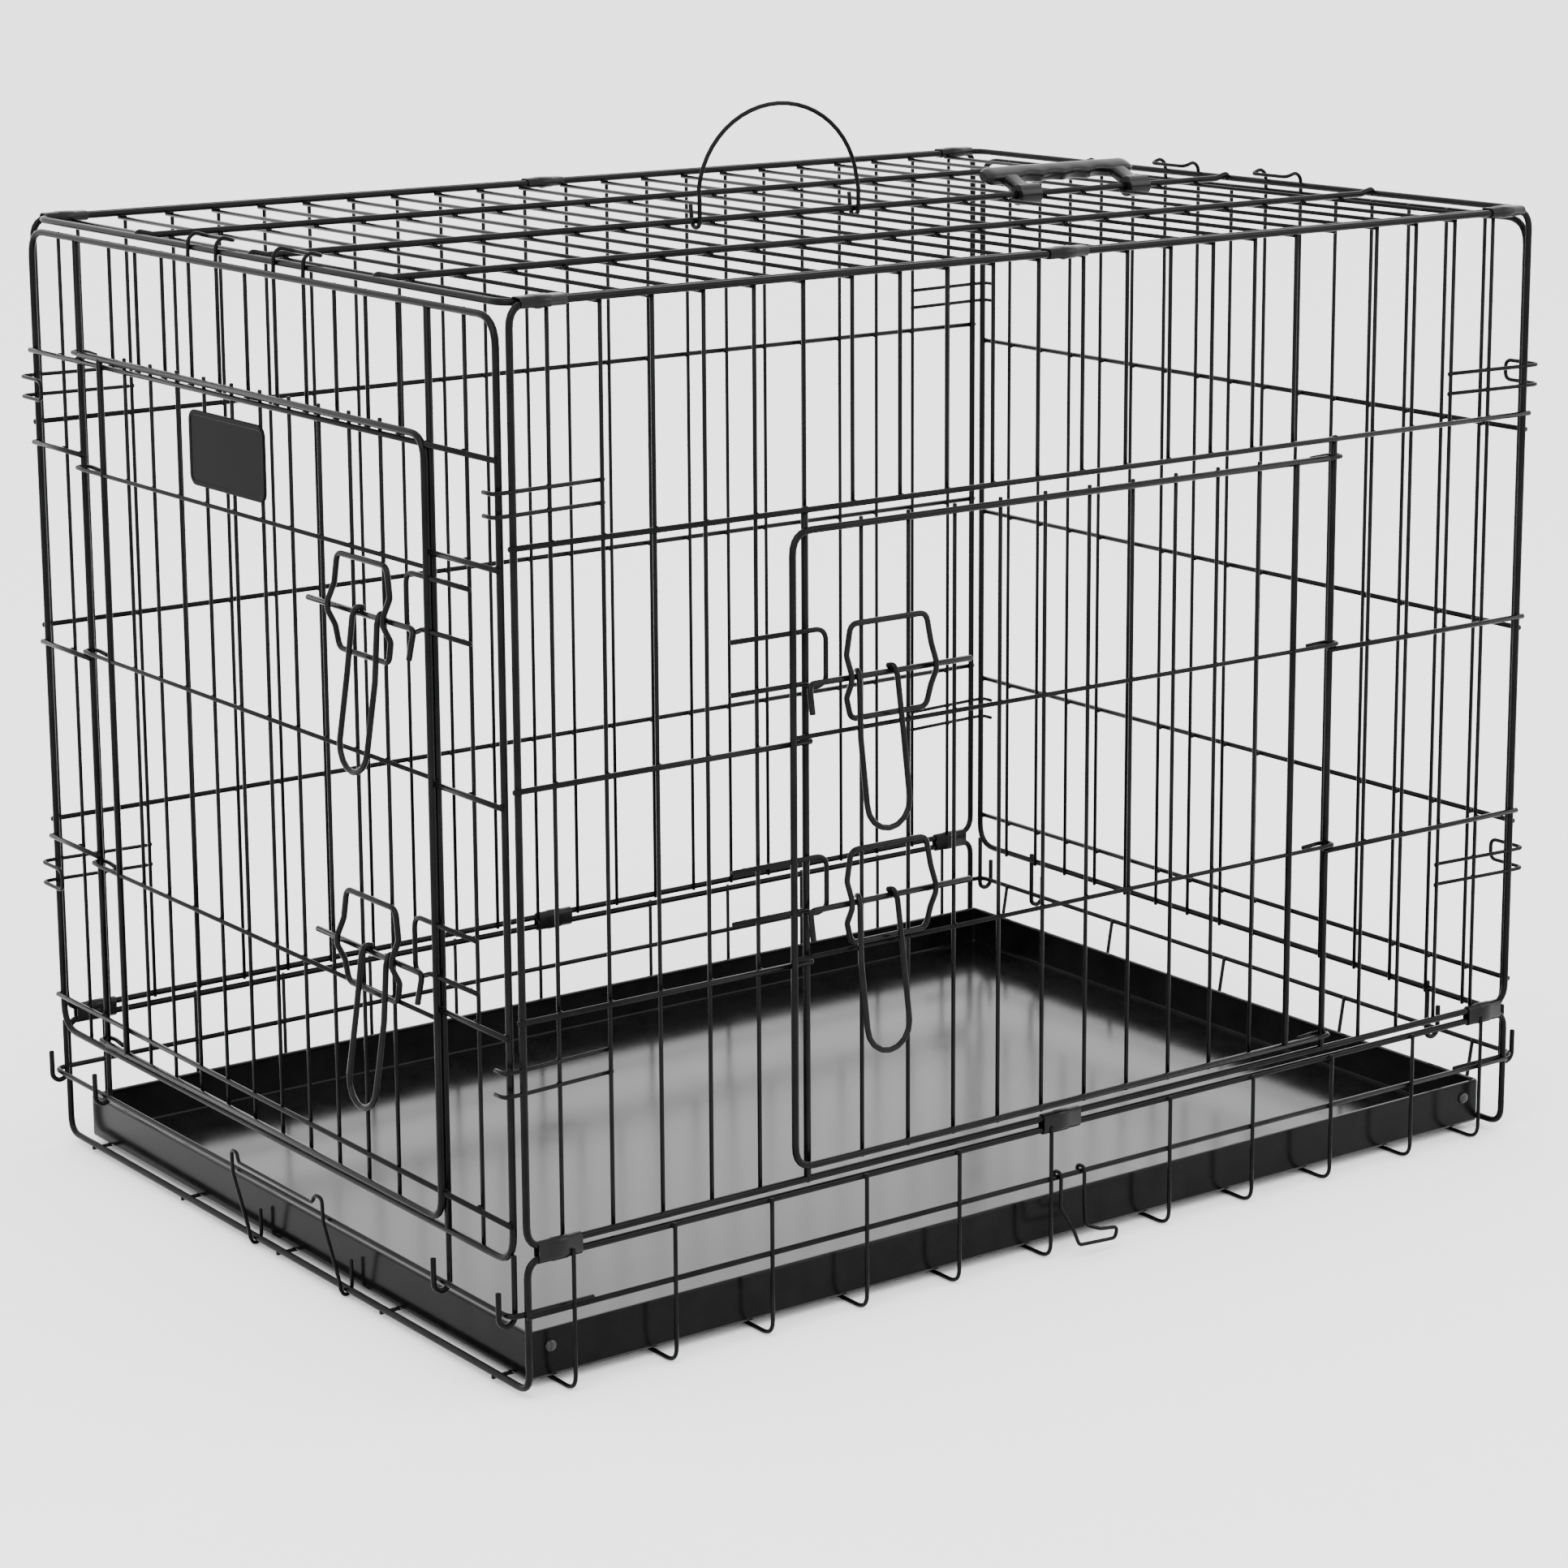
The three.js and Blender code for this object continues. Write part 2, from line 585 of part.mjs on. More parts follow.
function bailHandle() {
  const [first, last] = BAIL_FEET;
  const legY = RAIL_AXIS.y - BAIL_LOOP;
  const tailY = RAIL_AXIS.y + BAIL_LOOP;
  const under = RAIL_AXIS.z - BAIL_LOOP;
  const foot = (x) => [
    [x, tailY, RAIL_AXIS.z + 15], [x, tailY, under], [x, legY, under], [x, legY, RAIL_AXIS.z + 16],
  ];
  const middle = (first + last) / 2;
  const arc = [];
  const steps = 10;
  for (let i = 1; i < steps; i += 1) {
    const turn = Math.PI * (1 - i / steps);
    const reach = (last - first) / 2;
    arc.push([middle + reach * Math.cos(turn), legY, RAIL_AXIS.z + 16 + (BAIL_RISE - 16) * Math.sin(turn)]);
  }
  return wire([...foot(first), ...arc, ...foot(last).reverse()], BAIL_WIRE);
}

piece('wire_bail_handle', bailHandle(), ENAMEL);

function carryHandle() {
  const outline = new THREE.Shape();
  const [start, end] = GRIP_SPAN;
  const inner = GRIP_REACH - 15;
  outline.moveTo(start, inner);
  outline.lineTo(GRIP_FEET[0] - 8, inner);
  outline.lineTo(GRIP_FEET[0] - 8, 6);
  outline.lineTo(GRIP_FEET[0] + 8, 6);
  outline.lineTo(GRIP_FEET[0] + 8, inner);
  const grooves = 4;
  const grooveSpan = (GRIP_FEET[1] - GRIP_FEET[0] - 16) / grooves;
  for (let i = 0; i < grooves; i += 1) {
    const x = GRIP_FEET[0] + 8 + grooveSpan * i;
    outline.quadraticCurveTo(x + grooveSpan / 2, inner + 8, x + grooveSpan, inner);
  }
  outline.lineTo(GRIP_FEET[1] - 8, 6);
  outline.lineTo(GRIP_FEET[1] + 8, 6);
  outline.lineTo(GRIP_FEET[1] + 8, inner);
  outline.lineTo(end, inner);
  outline.lineTo(end - 8, GRIP_REACH);
  outline.lineTo(start + 8, GRIP_REACH);
  outline.closePath();
  const thickness = 9;
  const plate = new THREE.ExtrudeGeometry(outline, {
    depth: thickness, bevelEnabled: false, curveSegments: 4,
  });
  plate.translate(0, 0, -thickness / 2);
  const barrels = GRIP_FEET.map((x) => {
    const ring = new THREE.Shape();
    ring.absarc(0, 0, 8.5, 0, 2 * Math.PI);
    const geometry = new THREE.ExtrudeGeometry(ring, {
      depth: BARREL_LENGTH, bevelEnabled: false, curveSegments: 8,
    });
    geometry.rotateY(Math.PI / 2);
    geometry.translate(x - BARREL_LENGTH / 2, 0, 0);
    return solid(geometry);
  });
  const bore = new THREE.CylinderGeometry(4, 4, LENGTH, 16);
  bore.rotateZ(Math.PI / 2);
  bore.translate(LENGTH / 2, 0, 0);
  return join([solid(plate), ...barrels]).subtract(solid(bore));
}

const gripMount = new THREE.Group();
gripMount.position.set(0, RAIL_AXIS.y, RAIL_AXIS.z);
gripMount.rotation.x = GRIP_TILT;
crate.add(gripMount);
piece('carry_handle', carryHandle(), GRIP_BLACK, gripMount);

// ---- tray stop: a bail that turns on the front floor rail ----
function trayStop() {
  const axis = { x: HALF_FRAME, z: FLOOR_RAIL_Z };
  const r = 5;
  const c = r * Math.tan(Math.PI / 8);
  const outX = axis.x - 19;
  const leg = (y) => [
    [axis.x + r, y, axis.z + 20], [axis.x + r, y, axis.z - c], [axis.x + c, y, axis.z - r],
    [axis.x - c, y, axis.z - r], [axis.x - r, y, axis.z - c], [axis.x - r, y, axis.z + 6],
    [outX, y, 54], [outX, y, TRAY_STOP_TOP],
  ];
  return wire([...leg(TRAY_STOP_LEGS[0]), ...leg(TRAY_STOP_LEGS[1]).reverse()], HOOK_WIRE);
}

piece('tray_stop', trayStop(), ENAMEL);

// ---- closure hook: hangs on the near skirt rail and ends in a snap loop ----
function closureHook() {
  const r = 4.4;
  const y = SKIRT_RAIL_Y;
  const z = SKIRT_RAIL_Z;
  const eye = (x) => [[x, y + r, z - r + 2], [x, y + r, z + r], [x, y - r, z + r], [x, y - r, z - 22]];
  const [first, last] = CLOSURE_FEET;
  return wire([
    ...eye(first), [first + 7, -10, 20], [first + 10, -12, 10], [last + 22, -12, 8],
    [last + 24, -12, 16], [last + 8, -12, 18], [last - 3, -8, 22], ...eye(last).reverse(),
  ], HOOK_WIRE);
}

piece('closure_hook', closureHook(), ENAMEL);

export default crate;
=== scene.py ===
"""Looks of the folding wire dog crate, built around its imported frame.

Lengths are in millimetres from the crate's near front bottom corner: X runs from the front end
panel to the rear one, Y from the near long side to the far one, Z up. place() moves them into the
frame's own metres.
"""
import json
import math

import bpy
import numpy as np
from mathutils import Euler, Matrix, Vector


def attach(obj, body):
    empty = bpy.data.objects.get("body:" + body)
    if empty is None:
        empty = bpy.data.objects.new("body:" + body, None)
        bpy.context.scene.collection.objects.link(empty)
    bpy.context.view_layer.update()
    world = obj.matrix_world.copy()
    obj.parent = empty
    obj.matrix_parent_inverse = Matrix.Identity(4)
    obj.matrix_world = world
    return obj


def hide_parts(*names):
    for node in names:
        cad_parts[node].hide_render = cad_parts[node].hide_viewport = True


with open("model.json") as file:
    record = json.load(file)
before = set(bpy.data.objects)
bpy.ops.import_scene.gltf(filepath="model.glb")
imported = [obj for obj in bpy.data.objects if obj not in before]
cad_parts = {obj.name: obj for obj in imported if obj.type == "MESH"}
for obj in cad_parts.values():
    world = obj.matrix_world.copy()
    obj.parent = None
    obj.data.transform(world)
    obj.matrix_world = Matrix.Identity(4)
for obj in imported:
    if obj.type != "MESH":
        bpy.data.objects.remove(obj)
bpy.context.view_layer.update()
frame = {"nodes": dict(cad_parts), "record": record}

# the whole crate
ORIGIN = (446.5, 320.0)  # where the frame's own origin lies in the crate
LENGTH = 910
WIDTH = 668
HEIGHT = 724  # of the top panel's frame wire
MIDDLE_Y = WIDTH / 2
PITCH = 40  # between neighbouring grid wires

# wire radii, and how many flats stand for a round wire
FRAME_R = 2.5
RAIL_R = 2.0
GRID_R = 1.5
HOOK_R = 1.4
LATCH_R = 2.1
KEEPER_R = 1.8
LOOP_R = 1.7
THICK_SIDES = 12
THIN_SIDES = 8


def place(point):
    return ((point[0] - ORIGIN[0]) / 1000, (point[1] - ORIGIN[1]) / 1000, point[2] / 1000)


# ---------------------------------------------------------------- geometry
STRAIGHT = 0.05  # radians: a smaller turn needs no bend
BEND_ROOM = 0.48  # the share of a leg that one bend may use up
BEND_STEP = 0.3  # radians turned between two rings of a bend
END_TAPER = 0.72  # a cut end's radius, as a share of the wire's
END_BEVEL = 0.3  # and the length of its taper
UPRIGHT = 0.9  # cosine of the steepest start that still takes its normal from the vertical
BLOB_ROWS = 4
BLOB_SIDES = 8
OUTLINE_STEPS = 6  # points to each round corner, less one


def circle_angles(count):
    return [2 * math.pi * k / count for k in range(count)]


def rounded(points, bend, closed=False):
    """The route with every corner turned into a bend of that radius, as room allows."""
    pts = [np.array(p, float) for p in points]
    count = len(pts)
    route = []
    for i, p in enumerate(pts):
        if not closed and i in (0, count - 1):
            route.append(p)
            continue
        before = pts[i - 1] - p
        after = pts[(i + 1) % count] - p
        length_before = np.linalg.norm(before)
        length_after = np.linalg.norm(after)
        before = before / length_before
        after = after / length_after
        turn = math.pi - math.acos(max(-1, min(1, float(before @ after))))
        if turn < STRAIGHT:
            route.append(p)
            continue
        reach = min(bend * math.tan(turn / 2), BEND_ROOM * length_before, BEND_ROOM * length_after)
        start = p + reach * before
        end = p + reach * after
        steps = max(2, math.ceil(turn / BEND_STEP))
        for k in range(steps + 1):
            s = k / steps
            route.append((1 - s) ** 2 * start + 2 * s * (1 - s) * p + s ** 2 * end)
    return route


class Shape:
    """Vertices and faces of one piece, in crate millimetres; turn, if given, moves each point."""

    def __init__(self, turn=None):
        self.verts, self.faces = [], []
        self.turn = turn

    def ring(self, points):
        first = len(self.verts)
        for p in points:
            q = self.turn(p) if self.turn else p
            self.verts.append((float(q[0]), float(q[1]), float(q[2])))
        return list(range(first, len(self.verts)))

    def bridge(self, a, b, shift=0):
        """Joins two rings with quads; shift lines up rings that have turned against each other."""
        n = len(a)
        for i in range(n):
            j = (i + 1) % n
            self.faces.append((a[i], a[j], b[(j + shift) % n], b[(i + shift) % n]))

    def wire(self, points, radius, bend=6, closed=False, sides=10):
        """A round wire along the points, with rounded bends and slightly tapered ends."""
        route = rounded(points, bend, closed)
        count = len(route)
        tangents = []
        for i in range(count):
            a = route[i - 1] if closed or i > 0 else route[0]
            b = route[(i + 1) % count] if closed or i < count - 1 else route[-1]
            t = b - a
            tangents.append(t / np.linalg.norm(t))
        helper = np.array((0.0, 0.0, 1.0))
        if abs(tangents[0] @ helper) > UPRIGHT:
            helper = np.array((1.0, 0.0, 0.0))
        normal = np.cross(tangents[0], helper)
        normal /= np.linalg.norm(normal)
        first_normal = normal
        rings = []

        def circle(centre, tangent, n, r):
            side = np.cross(tangent, n)
            return [centre + r * (math.cos(a) * n + math.sin(a) * side) for a in circle_angles(sides)]

        for i in range(count):
            normal = normal - (normal @ tangents[i]) * tangents[i]
            normal /= np.linalg.norm(normal)
            centre, t = route[i], tangents[i]
            bevel = END_BEVEL * radius * t
            if not closed and i == 0:
                rings.append(self.ring(circle(centre, t, normal, radius * END_TAPER)))
                rings.append(self.ring(circle(centre + bevel, t, normal, radius)))
            elif not closed and i == count - 1:
                rings.append(self.ring(circle(centre - bevel, t, normal, radius)))
                rings.append(self.ring(circle(centre, t, normal, radius * END_TAPER)))
            else:
                rings.append(self.ring(circle(centre, t, normal, radius)))
        for a, b in zip(rings, rings[1:]):
            self.bridge(a, b)
        if closed:
            last = normal - (normal @ tangents[0]) * tangents[0]
            side = np.cross(tangents[0], first_normal)
            angle = math.atan2(last @ side, last @ first_normal)
            shift = round(angle / (2 * math.pi / sides))
            self.bridge(rings[-1], rings[0], shift)
        else:
            self.faces.append(tuple(reversed(rings[0])))
            self.faces.append(tuple(rings[-1]))

    def blob(self, centre, radii):
        """A small weld nugget, an ellipsoid."""
        c = np.array(centre, float)
        rings = []
        for i in range(1, BLOB_ROWS):
            polar = math.pi * i / BLOB_ROWS
            rings.append(self.ring([
                c + np.array((radii[0] * math.sin(polar) * math.cos(a),
                              radii[1] * math.sin(polar) * math.sin(a),
                              -radii[2] * math.cos(polar)))
                for a in circle_angles(BLOB_SIDES)]))
        for a, b in zip(rings, rings[1:]):
            self.bridge(a, b)
        low = self.ring([c - np.array((0, 0, radii[2]))])[0]
        high = self.ring([c + np.array((0, 0, radii[2]))])[0]
        for i in range(BLOB_SIDES):
            j = (i + 1) % BLOB_SIDES
            self.faces.append((low, rings[0][j], rings[0][i]))
            self.faces.append((high, rings[-1][i], rings[-1][j]))

    def loft(self, sections, close_ends=True):
        """Skins the sections, lists of as many points each. The ends are capped, or else joined."""
        rings = [self.ring(s) for s in sections]
        for a, b in zip(rings, rings[1:]):
            self.bridge(a, b)
        if close_ends:
            self.faces.append(tuple(reversed(rings[0])))
            self.faces.append(tuple(rings[-1]))
        else:
            self.bridge(rings[-1], rings[0])


def volume(verts, faces):
    """Six times the signed volume, negative when the faces look inward."""
    total = 0.0
    for f in faces:
        a = verts[f[0]]
        for i in range(1, len(f) - 1):
            total += np.dot(a, np.cross(verts[f[i]], verts[f[i + 1]]))
    return total


def put(name, shape, body, material, slot, *stands_for, smooth=50):
    """Makes the shape a piece that rides on body; edges sharper than smooth degrees stay crisp."""
    verts = np.array([place(v) for v in shape.verts])
    faces = shape.faces
    if volume(verts, faces) < 0:
        faces = [tuple(reversed(f)) for f in faces]
    mesh = bpy.data.meshes.new(name)
    mesh.from_pydata([tuple(v) for v in verts], [], faces)
    mesh.validate()
    mesh.update()
    mesh.shade_smooth()
    mesh.set_sharp_from_angle(angle=math.radians(smooth))
    piece = bpy.data.objects.new(name, mesh)
    bpy.context.scene.collection.objects.link(piece)
    mesh.materials.append(material)
    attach(piece, body)
    if stands_for:
        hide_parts(*stands_for)
    return piece


# ---------------------------------------------------------------- materials
MOTTLE_SCALE = 45.0
MOTTLE_LOW = 0.3  # mottle up to here is all dark,
MOTTLE_HIGH = 0.75  # and from here on all light
COAT_ROUGH = 0.12
PEEL_DEPTH = 0.0004  # metres


def enamel(name, dark, light, rough, grain=900.0, coat=0.0, bump=0.04, specular=0.5):
    """Black enamel or plastic: a faint mottle in colour and gloss, and a fine orange peel."""
    mat = bpy.data.materials.new(name)
    mat.use_nodes = True
    nodes, links = mat.node_tree.nodes, mat.node_tree.links
    shader = nodes["Principled BSDF"]
    shader.inputs["Coat Weight"].default_value = coat
    shader.inputs["Coat Roughness"].default_value = COAT_ROUGH
    shader.inputs["Specular IOR Level"].default_value = specular
    coords = nodes.new("ShaderNodeTexCoord")
    mottle = nodes.new("ShaderNodeTexNoise")
    mottle.inputs["Scale"].default_value = MOTTLE_SCALE
    mottle.inputs["Detail"].default_value = 4.0
    links.new(coords.outputs["Object"], mottle.inputs["Vector"])
    ramp = nodes.new("ShaderNodeValToRGB")
    ramp.color_ramp.elements[0].position = MOTTLE_LOW
    ramp.color_ramp.elements[0].color = (*dark, 1)
    ramp.color_ramp.elements[1].position = MOTTLE_HIGH
    ramp.color_ramp.elements[1].color = (*light, 1)
    links.new(mottle.outputs["Fac"], ramp.inputs["Fac"])
    links.new(ramp.outputs["Color"], shader.inputs["Base Color"])
    gloss = nodes.new("ShaderNodeMapRange")
    gloss.inputs["To Min"].default_value = rough[0]
    gloss.inputs["To Max"].default_value = rough[1]
    links.new(mottle.outputs["Fac"], gloss.inputs["Value"])
    links.new(gloss.outputs["Result"], shader.inputs["Roughness"])
    peel = nodes.new("ShaderNodeTexNoise")
    peel.inputs["Scale"].default_value = grain
    peel.inputs["Detail"].default_value = 2.0
    links.new(coords.outputs["Object"], peel.inputs["Vector"])
    relief = nodes.new("ShaderNodeBump")
    relief.inputs["Strength"].default_value = bump
    relief.inputs["Distance"].default_value = PEEL_DEPTH
    links.new(peel.outputs["Fac"], relief.inputs["Height"])
    links.new(relief.outputs["Normal"], shader.inputs["Normal"])
    return mat


WIRE = enamel("wire_enamel", (0.001, 0.001, 0.0012), (0.004, 0.004, 0.0045), (0.16, 0.3),
              coat=0.01, specular=0.06)
LATCH = enamel("latch_enamel", (0.002, 0.002, 0.0022), (0.006, 0.006, 0.0065), (0.08, 0.17),
               coat=0.02, specular=0.06)
CLIP = enamel("clip_enamel", (0.002, 0.002, 0.002), (0.006, 0.006, 0.006), (0.2, 0.36),
              coat=0.03, specular=0.1)
RIVET = enamel("rivet_enamel", (0.003, 0.003, 0.003), (0.008, 0.008, 0.008), (0.2, 0.34),
               coat=0.03, specular=0.3)
TRAY_PAINT = enamel("tray_enamel", (0.0015, 0.0015, 0.0016), (0.004, 0.004, 0.0043), (0.13, 0.2),
                    grain=500.0, bump=0.01)
PLASTIC = enamel("grip_plastic", (0.002, 0.002, 0.002), (0.006, 0.006, 0.006), (0.14, 0.24),
                 grain=2200.0, bump=0.05, specular=0.14)
PLATE = enamel("badge_enamel", (0.0006, 0.0006, 0.0007), (0.002, 0.002, 0.0022), (0.3, 0.42),
               specular=0.03)

# in the tray's paint: the heights, in metres, that part floor from walls, and how strongly each shines;
# the floor's stronger shine is a painted sheen, standing in for the bright backdrop that the floor
# reflects
FLOOR_BELOW = 0.00825
WALL_ABOVE = 0.0084
PAINTED_FLOOR_SHEEN = 0.38
WALL_SHINE = 0.06


def paint_floor_sheen(mat):
    """Painted sheen: the pan's floor shines more than its dull walls, standing in for the bright backdrop
    that it reflects.
    """
    nodes, links = mat.node_tree.nodes, mat.node_tree.links
    coords = nodes.new("ShaderNodeTexCoord")
    split = nodes.new("ShaderNodeSeparateXYZ")
    links.new(coords.outputs["Object"], split.inputs["Vector"])
    shine = nodes.new("ShaderNodeMapRange")
    shine.inputs["From Min"].default_value = FLOOR_BELOW
    shine.inputs["From Max"].default_value = WALL_ABOVE
    shine.inputs["To Min"].default_value = PAINTED_FLOOR_SHEEN
    shine.inputs["To Max"].default_value = WALL_SHINE
    links.new(split.outputs["Z"], shine.inputs["Value"])
    links.new(shine.outputs["Result"], nodes["Principled BSDF"].inputs["Specular IOR Level"])


# painted sheen: the tray's floor is made to shine more than its walls
paint_floor_sheen(TRAY_PAINT)

# ---------------------------------------------------------------- long side panels
SIDE_BOTTOM = 106
SIDE_RAILS = (260, 413, 570)
SIDE_XS = [32 + PITCH * i for i in range(22)]
LATCH_X, HINGE_X = 230, 711  # the side doorway's posts
SIDE_BEND = 15
# how deep the wires' middles lie, from the crate's outer face inward
SIDE_FRAME_Y = 2.5
SIDE_RAIL_Y = 0.2
SIDE_GRID_Y = 5.2
STUB = 2.5  # what a wire stands past the last one it crosses
POST_GAP = 3.5  # how far a cut rail reaches over the doorway's post
CORNER_LOOPS = ((591, 606), (212, 228))  # heights of the wires that hook round the corners
CORNER_BACK = 75  # how far they run back along the panel
CORNER_TIP = 12.5  # how far they stand past its end
FRONT_CATCH = 13.5  # how far they turn in across the end, at the front
REAR_LOOP = 36  # and at the rear
CORNER_IN_Y = 7.2  # they start on the inside of the grid
CORNER_OUT_Y = 1.75  # and pass the corner here
FRONT_WELDS = (32, 72)
REAR_WELDS = (LENGTH - 38, LENGTH - 78)
# how deep the weld nuggets lie
FRAME_WELD_Y = 3.9
RAIL_WELD_Y = 2.9
POST_WELD_Y = 1.4
STUB_WELD_Y = 1.2
CORNER_WELD_Y = 6.2


def side_grid_wire(shape, x, low):
    """An upright from low to the top, welded to every wire that it crosses."""
    shape.wire([(x, SIDE_GRID_Y, low), (x, SIDE_GRID_Y, HEIGHT + 2)], GRID_R, sides=THIN_SIDES)
    nugget = (2.3, 2.0, 2.3)
    shape.blob((x, FRAME_WELD_Y, HEIGHT), nugget)
    for z in SIDE_RAILS:
        if z > low:
            shape.blob((x, RAIL_WELD_Y, z), nugget)
    if low < SIDE_BOTTOM:
        shape.blob((x, FRAME_WELD_Y, SIDE_BOTTOM), nugget)


def doorway_post(shape, x):
    top = SIDE_RAILS[-1] + 2
    shape.wire([(x, SIDE_FRAME_Y, SIDE_BOTTOM - 2), (x, SIDE_FRAME_Y, top)], FRAME_R, sides=THICK_SIDES)
    shape.blob((x, SIDE_FRAME_Y, SIDE_BOTTOM), (3.4, 2.9, 3.2))
    for z in SIDE_RAILS:
        shape.blob((x, POST_WELD_Y, z), (3.2, 2.8, 3.0))


def corner_loops(shape, corner, out, looped):
    """Wires that hook round the panel's corner, in pairs; looped makes one wire of each pair."""
    back = corner + out * CORNER_BACK
    tip = corner - out * CORNER_TIP
    crossed = FRONT_WELDS if out > 0 else REAR_WELDS

    def arm(z, y_end):
        return [(back, CORNER_IN_Y, z), (corner, CORNER_OUT_Y, z), (tip, CORNER_OUT_Y, z), (tip, y_end, z)]

    for low, high in CORNER_LOOPS:
        if looped:
            route = [*arm(low, REAR_LOOP), *reversed(arm(high, REAR_LOOP))]
            shape.wire(route, GRID_R, bend=6, sides=THIN_SIDES)
        else:
            for z in (low, high):
                shape.wire(arm(z, FRONT_CATCH), GRID_R, bend=5, sides=THIN_SIDES)
        for z in (low, high):
            for grid in crossed:
                shape.blob((grid, CORNER_WELD_Y, z), (2.2, 1.6, 2.0))


def side_panel(has_door, turn=None):
    s = Shape(turn)
    header = SIDE_RAILS[-1]
    left, right = FRAME_R, LENGTH - FRAME_R
    corners = [(left, SIDE_BOTTOM), (right, SIDE_BOTTOM), (right, HEIGHT), (left, HEIGHT)]
    s.wire([(x, SIDE_FRAME_Y, z) for x, z in corners],
           FRAME_R, bend=SIDE_BEND, closed=True, sides=THICK_SIDES)
    for z in SIDE_RAILS:
        spans = [(-STUB, LENGTH + STUB)]
        if has_door and z < header:
            spans = [(-STUB, LATCH_X + POST_GAP), (HINGE_X - POST_GAP, LENGTH + STUB)]
        for a, b in spans:
            s.wire([(a, SIDE_RAIL_Y, z), (b, SIDE_RAIL_Y, z)], RAIL_R)
            for x in (left, right):
                if a < x < b:
                    s.blob((x, STUB_WELD_Y, z), (2.8, 2.6, 2.8))
    for x in SIDE_XS:
        if has_door and abs(x - HINGE_X) < FRAME_R:
            continue  # the hinge post takes this wire's place
        over_doorway = has_door and LATCH_X < x < HINGE_X
        side_grid_wire(s, x, header - STUB if over_doorway else SIDE_BOTTOM - STUB)
    if has_door:
        for x in (LATCH_X, HINGE_X):
            doorway_post(s, x)
    corner_loops(s, 0, 1, looped=False)
    corner_loops(s, LENGTH, -1, looped=True)
    return s


put("near_side_wires", side_panel(True), "root", WIRE, "wire_enamel", "near_side_panel")
put("far_side_wires", side_panel(False, lambda p: (LENGTH - p[0], WIDTH - p[1], p[2])),
    "root", WIRE, "wire_enamel", "far_side_panel")

# ---------------------------------------------------------------- end panels
END_OUT = 3  # its frame wire, from the crate's end outward
END_RAIL_OUT = END_OUT + 3.6
END_GRID_OUT = 0.6
END_FRAME_WELD = 1.8
END_RAIL_WELD = 3.2
END_POST_WELD = END_OUT + 2
END_TOP = 716
END_BOTTOM = 95
END_RAILS = (122, 249, 402, 556)
END_EDGE = 10
END_FAR = WIDTH - END_EDGE
END_HEADER = 626
END_BEND = 20
END_YS = [END_EDGE + (END_FAR - END_EDGE) / 16 * i for i in range(17)]
END_STUB = 3
LATCH_Y, HINGE_Y = 91, 585  # the front doorway's posts
POST_REACH = 9  # a grid wire nearer than this to a post is left out
E_RAIL_Z = 61  # the base's end rail, which the panel hooks swing on
E_RAIL_OUT = 10
HOOK_YS = (END_EDGE, LATCH_Y, HINGE_Y, END_FAR)
LOOPS = (6, 9)  # the number of the first grid wire of each pair that arches over the top panel
LOOP_START = END_TOP - 7


def front_x(out):
    return -out


def rear_x(out):
    return LENGTH + out


def end_grid_wire(shape, x_at, y, low, top, rails):
    """An upright from low to top, welded to every wire that it crosses."""
    grid = x_at(END_GRID_OUT)
    shape.wire([(grid, y, low), (grid, y, top)], GRID_R, sides=THIN_SIDES)
    shape.blob((x_at(END_FRAME_WELD), y, END_TOP), (2.0, 2.3, 2.3))
    for z in rails:
        if z > low:
            shape.blob((x_at(END_RAIL_WELD), y, z), (2.4, 2.2, 2.2))
    if low < END_BOTTOM:
        shape.blob((x_at(END_FRAME_WELD), y, END_BOTTOM), (2.0, 2.3, 2.3))


def rail_hook(shape, x_at, y):
    """A hook that swings on the base's end rail."""
    frame_x = x_at(END_OUT)
    outer = x_at(2 * E_RAIL_OUT - END_OUT - 1.5)
    shape.wire([(frame_x, y, END_BOTTOM + 6), (frame_x, y, E_RAIL_Z - 5.5),
                (x_at(E_RAIL_OUT), y, E_RAIL_Z - 8.5), (outer, y, E_RAIL_Z - 4),
                (outer, y, E_RAIL_Z + 17)], RAIL_R, bend=6)


def top_loop(shape, x_at, a, b):
    """The grid wires at a and b, one wire that arches inward over the top panel's end rail."""
    arch = [(END_GRID_OUT, LOOP_START), (0.8, END_TOP + 1), (0.2, END_TOP + 14),
            (-5, END_TOP + 18), (-15, END_TOP + 15)]
    up = [(x_at(out), a, z) for out, z in arch]
    down = [(x_at(out), b, z) for out, z in reversed(arch)]
    shape.wire([*up, *down], GRID_R, bend=9, sides=THIN_SIDES)


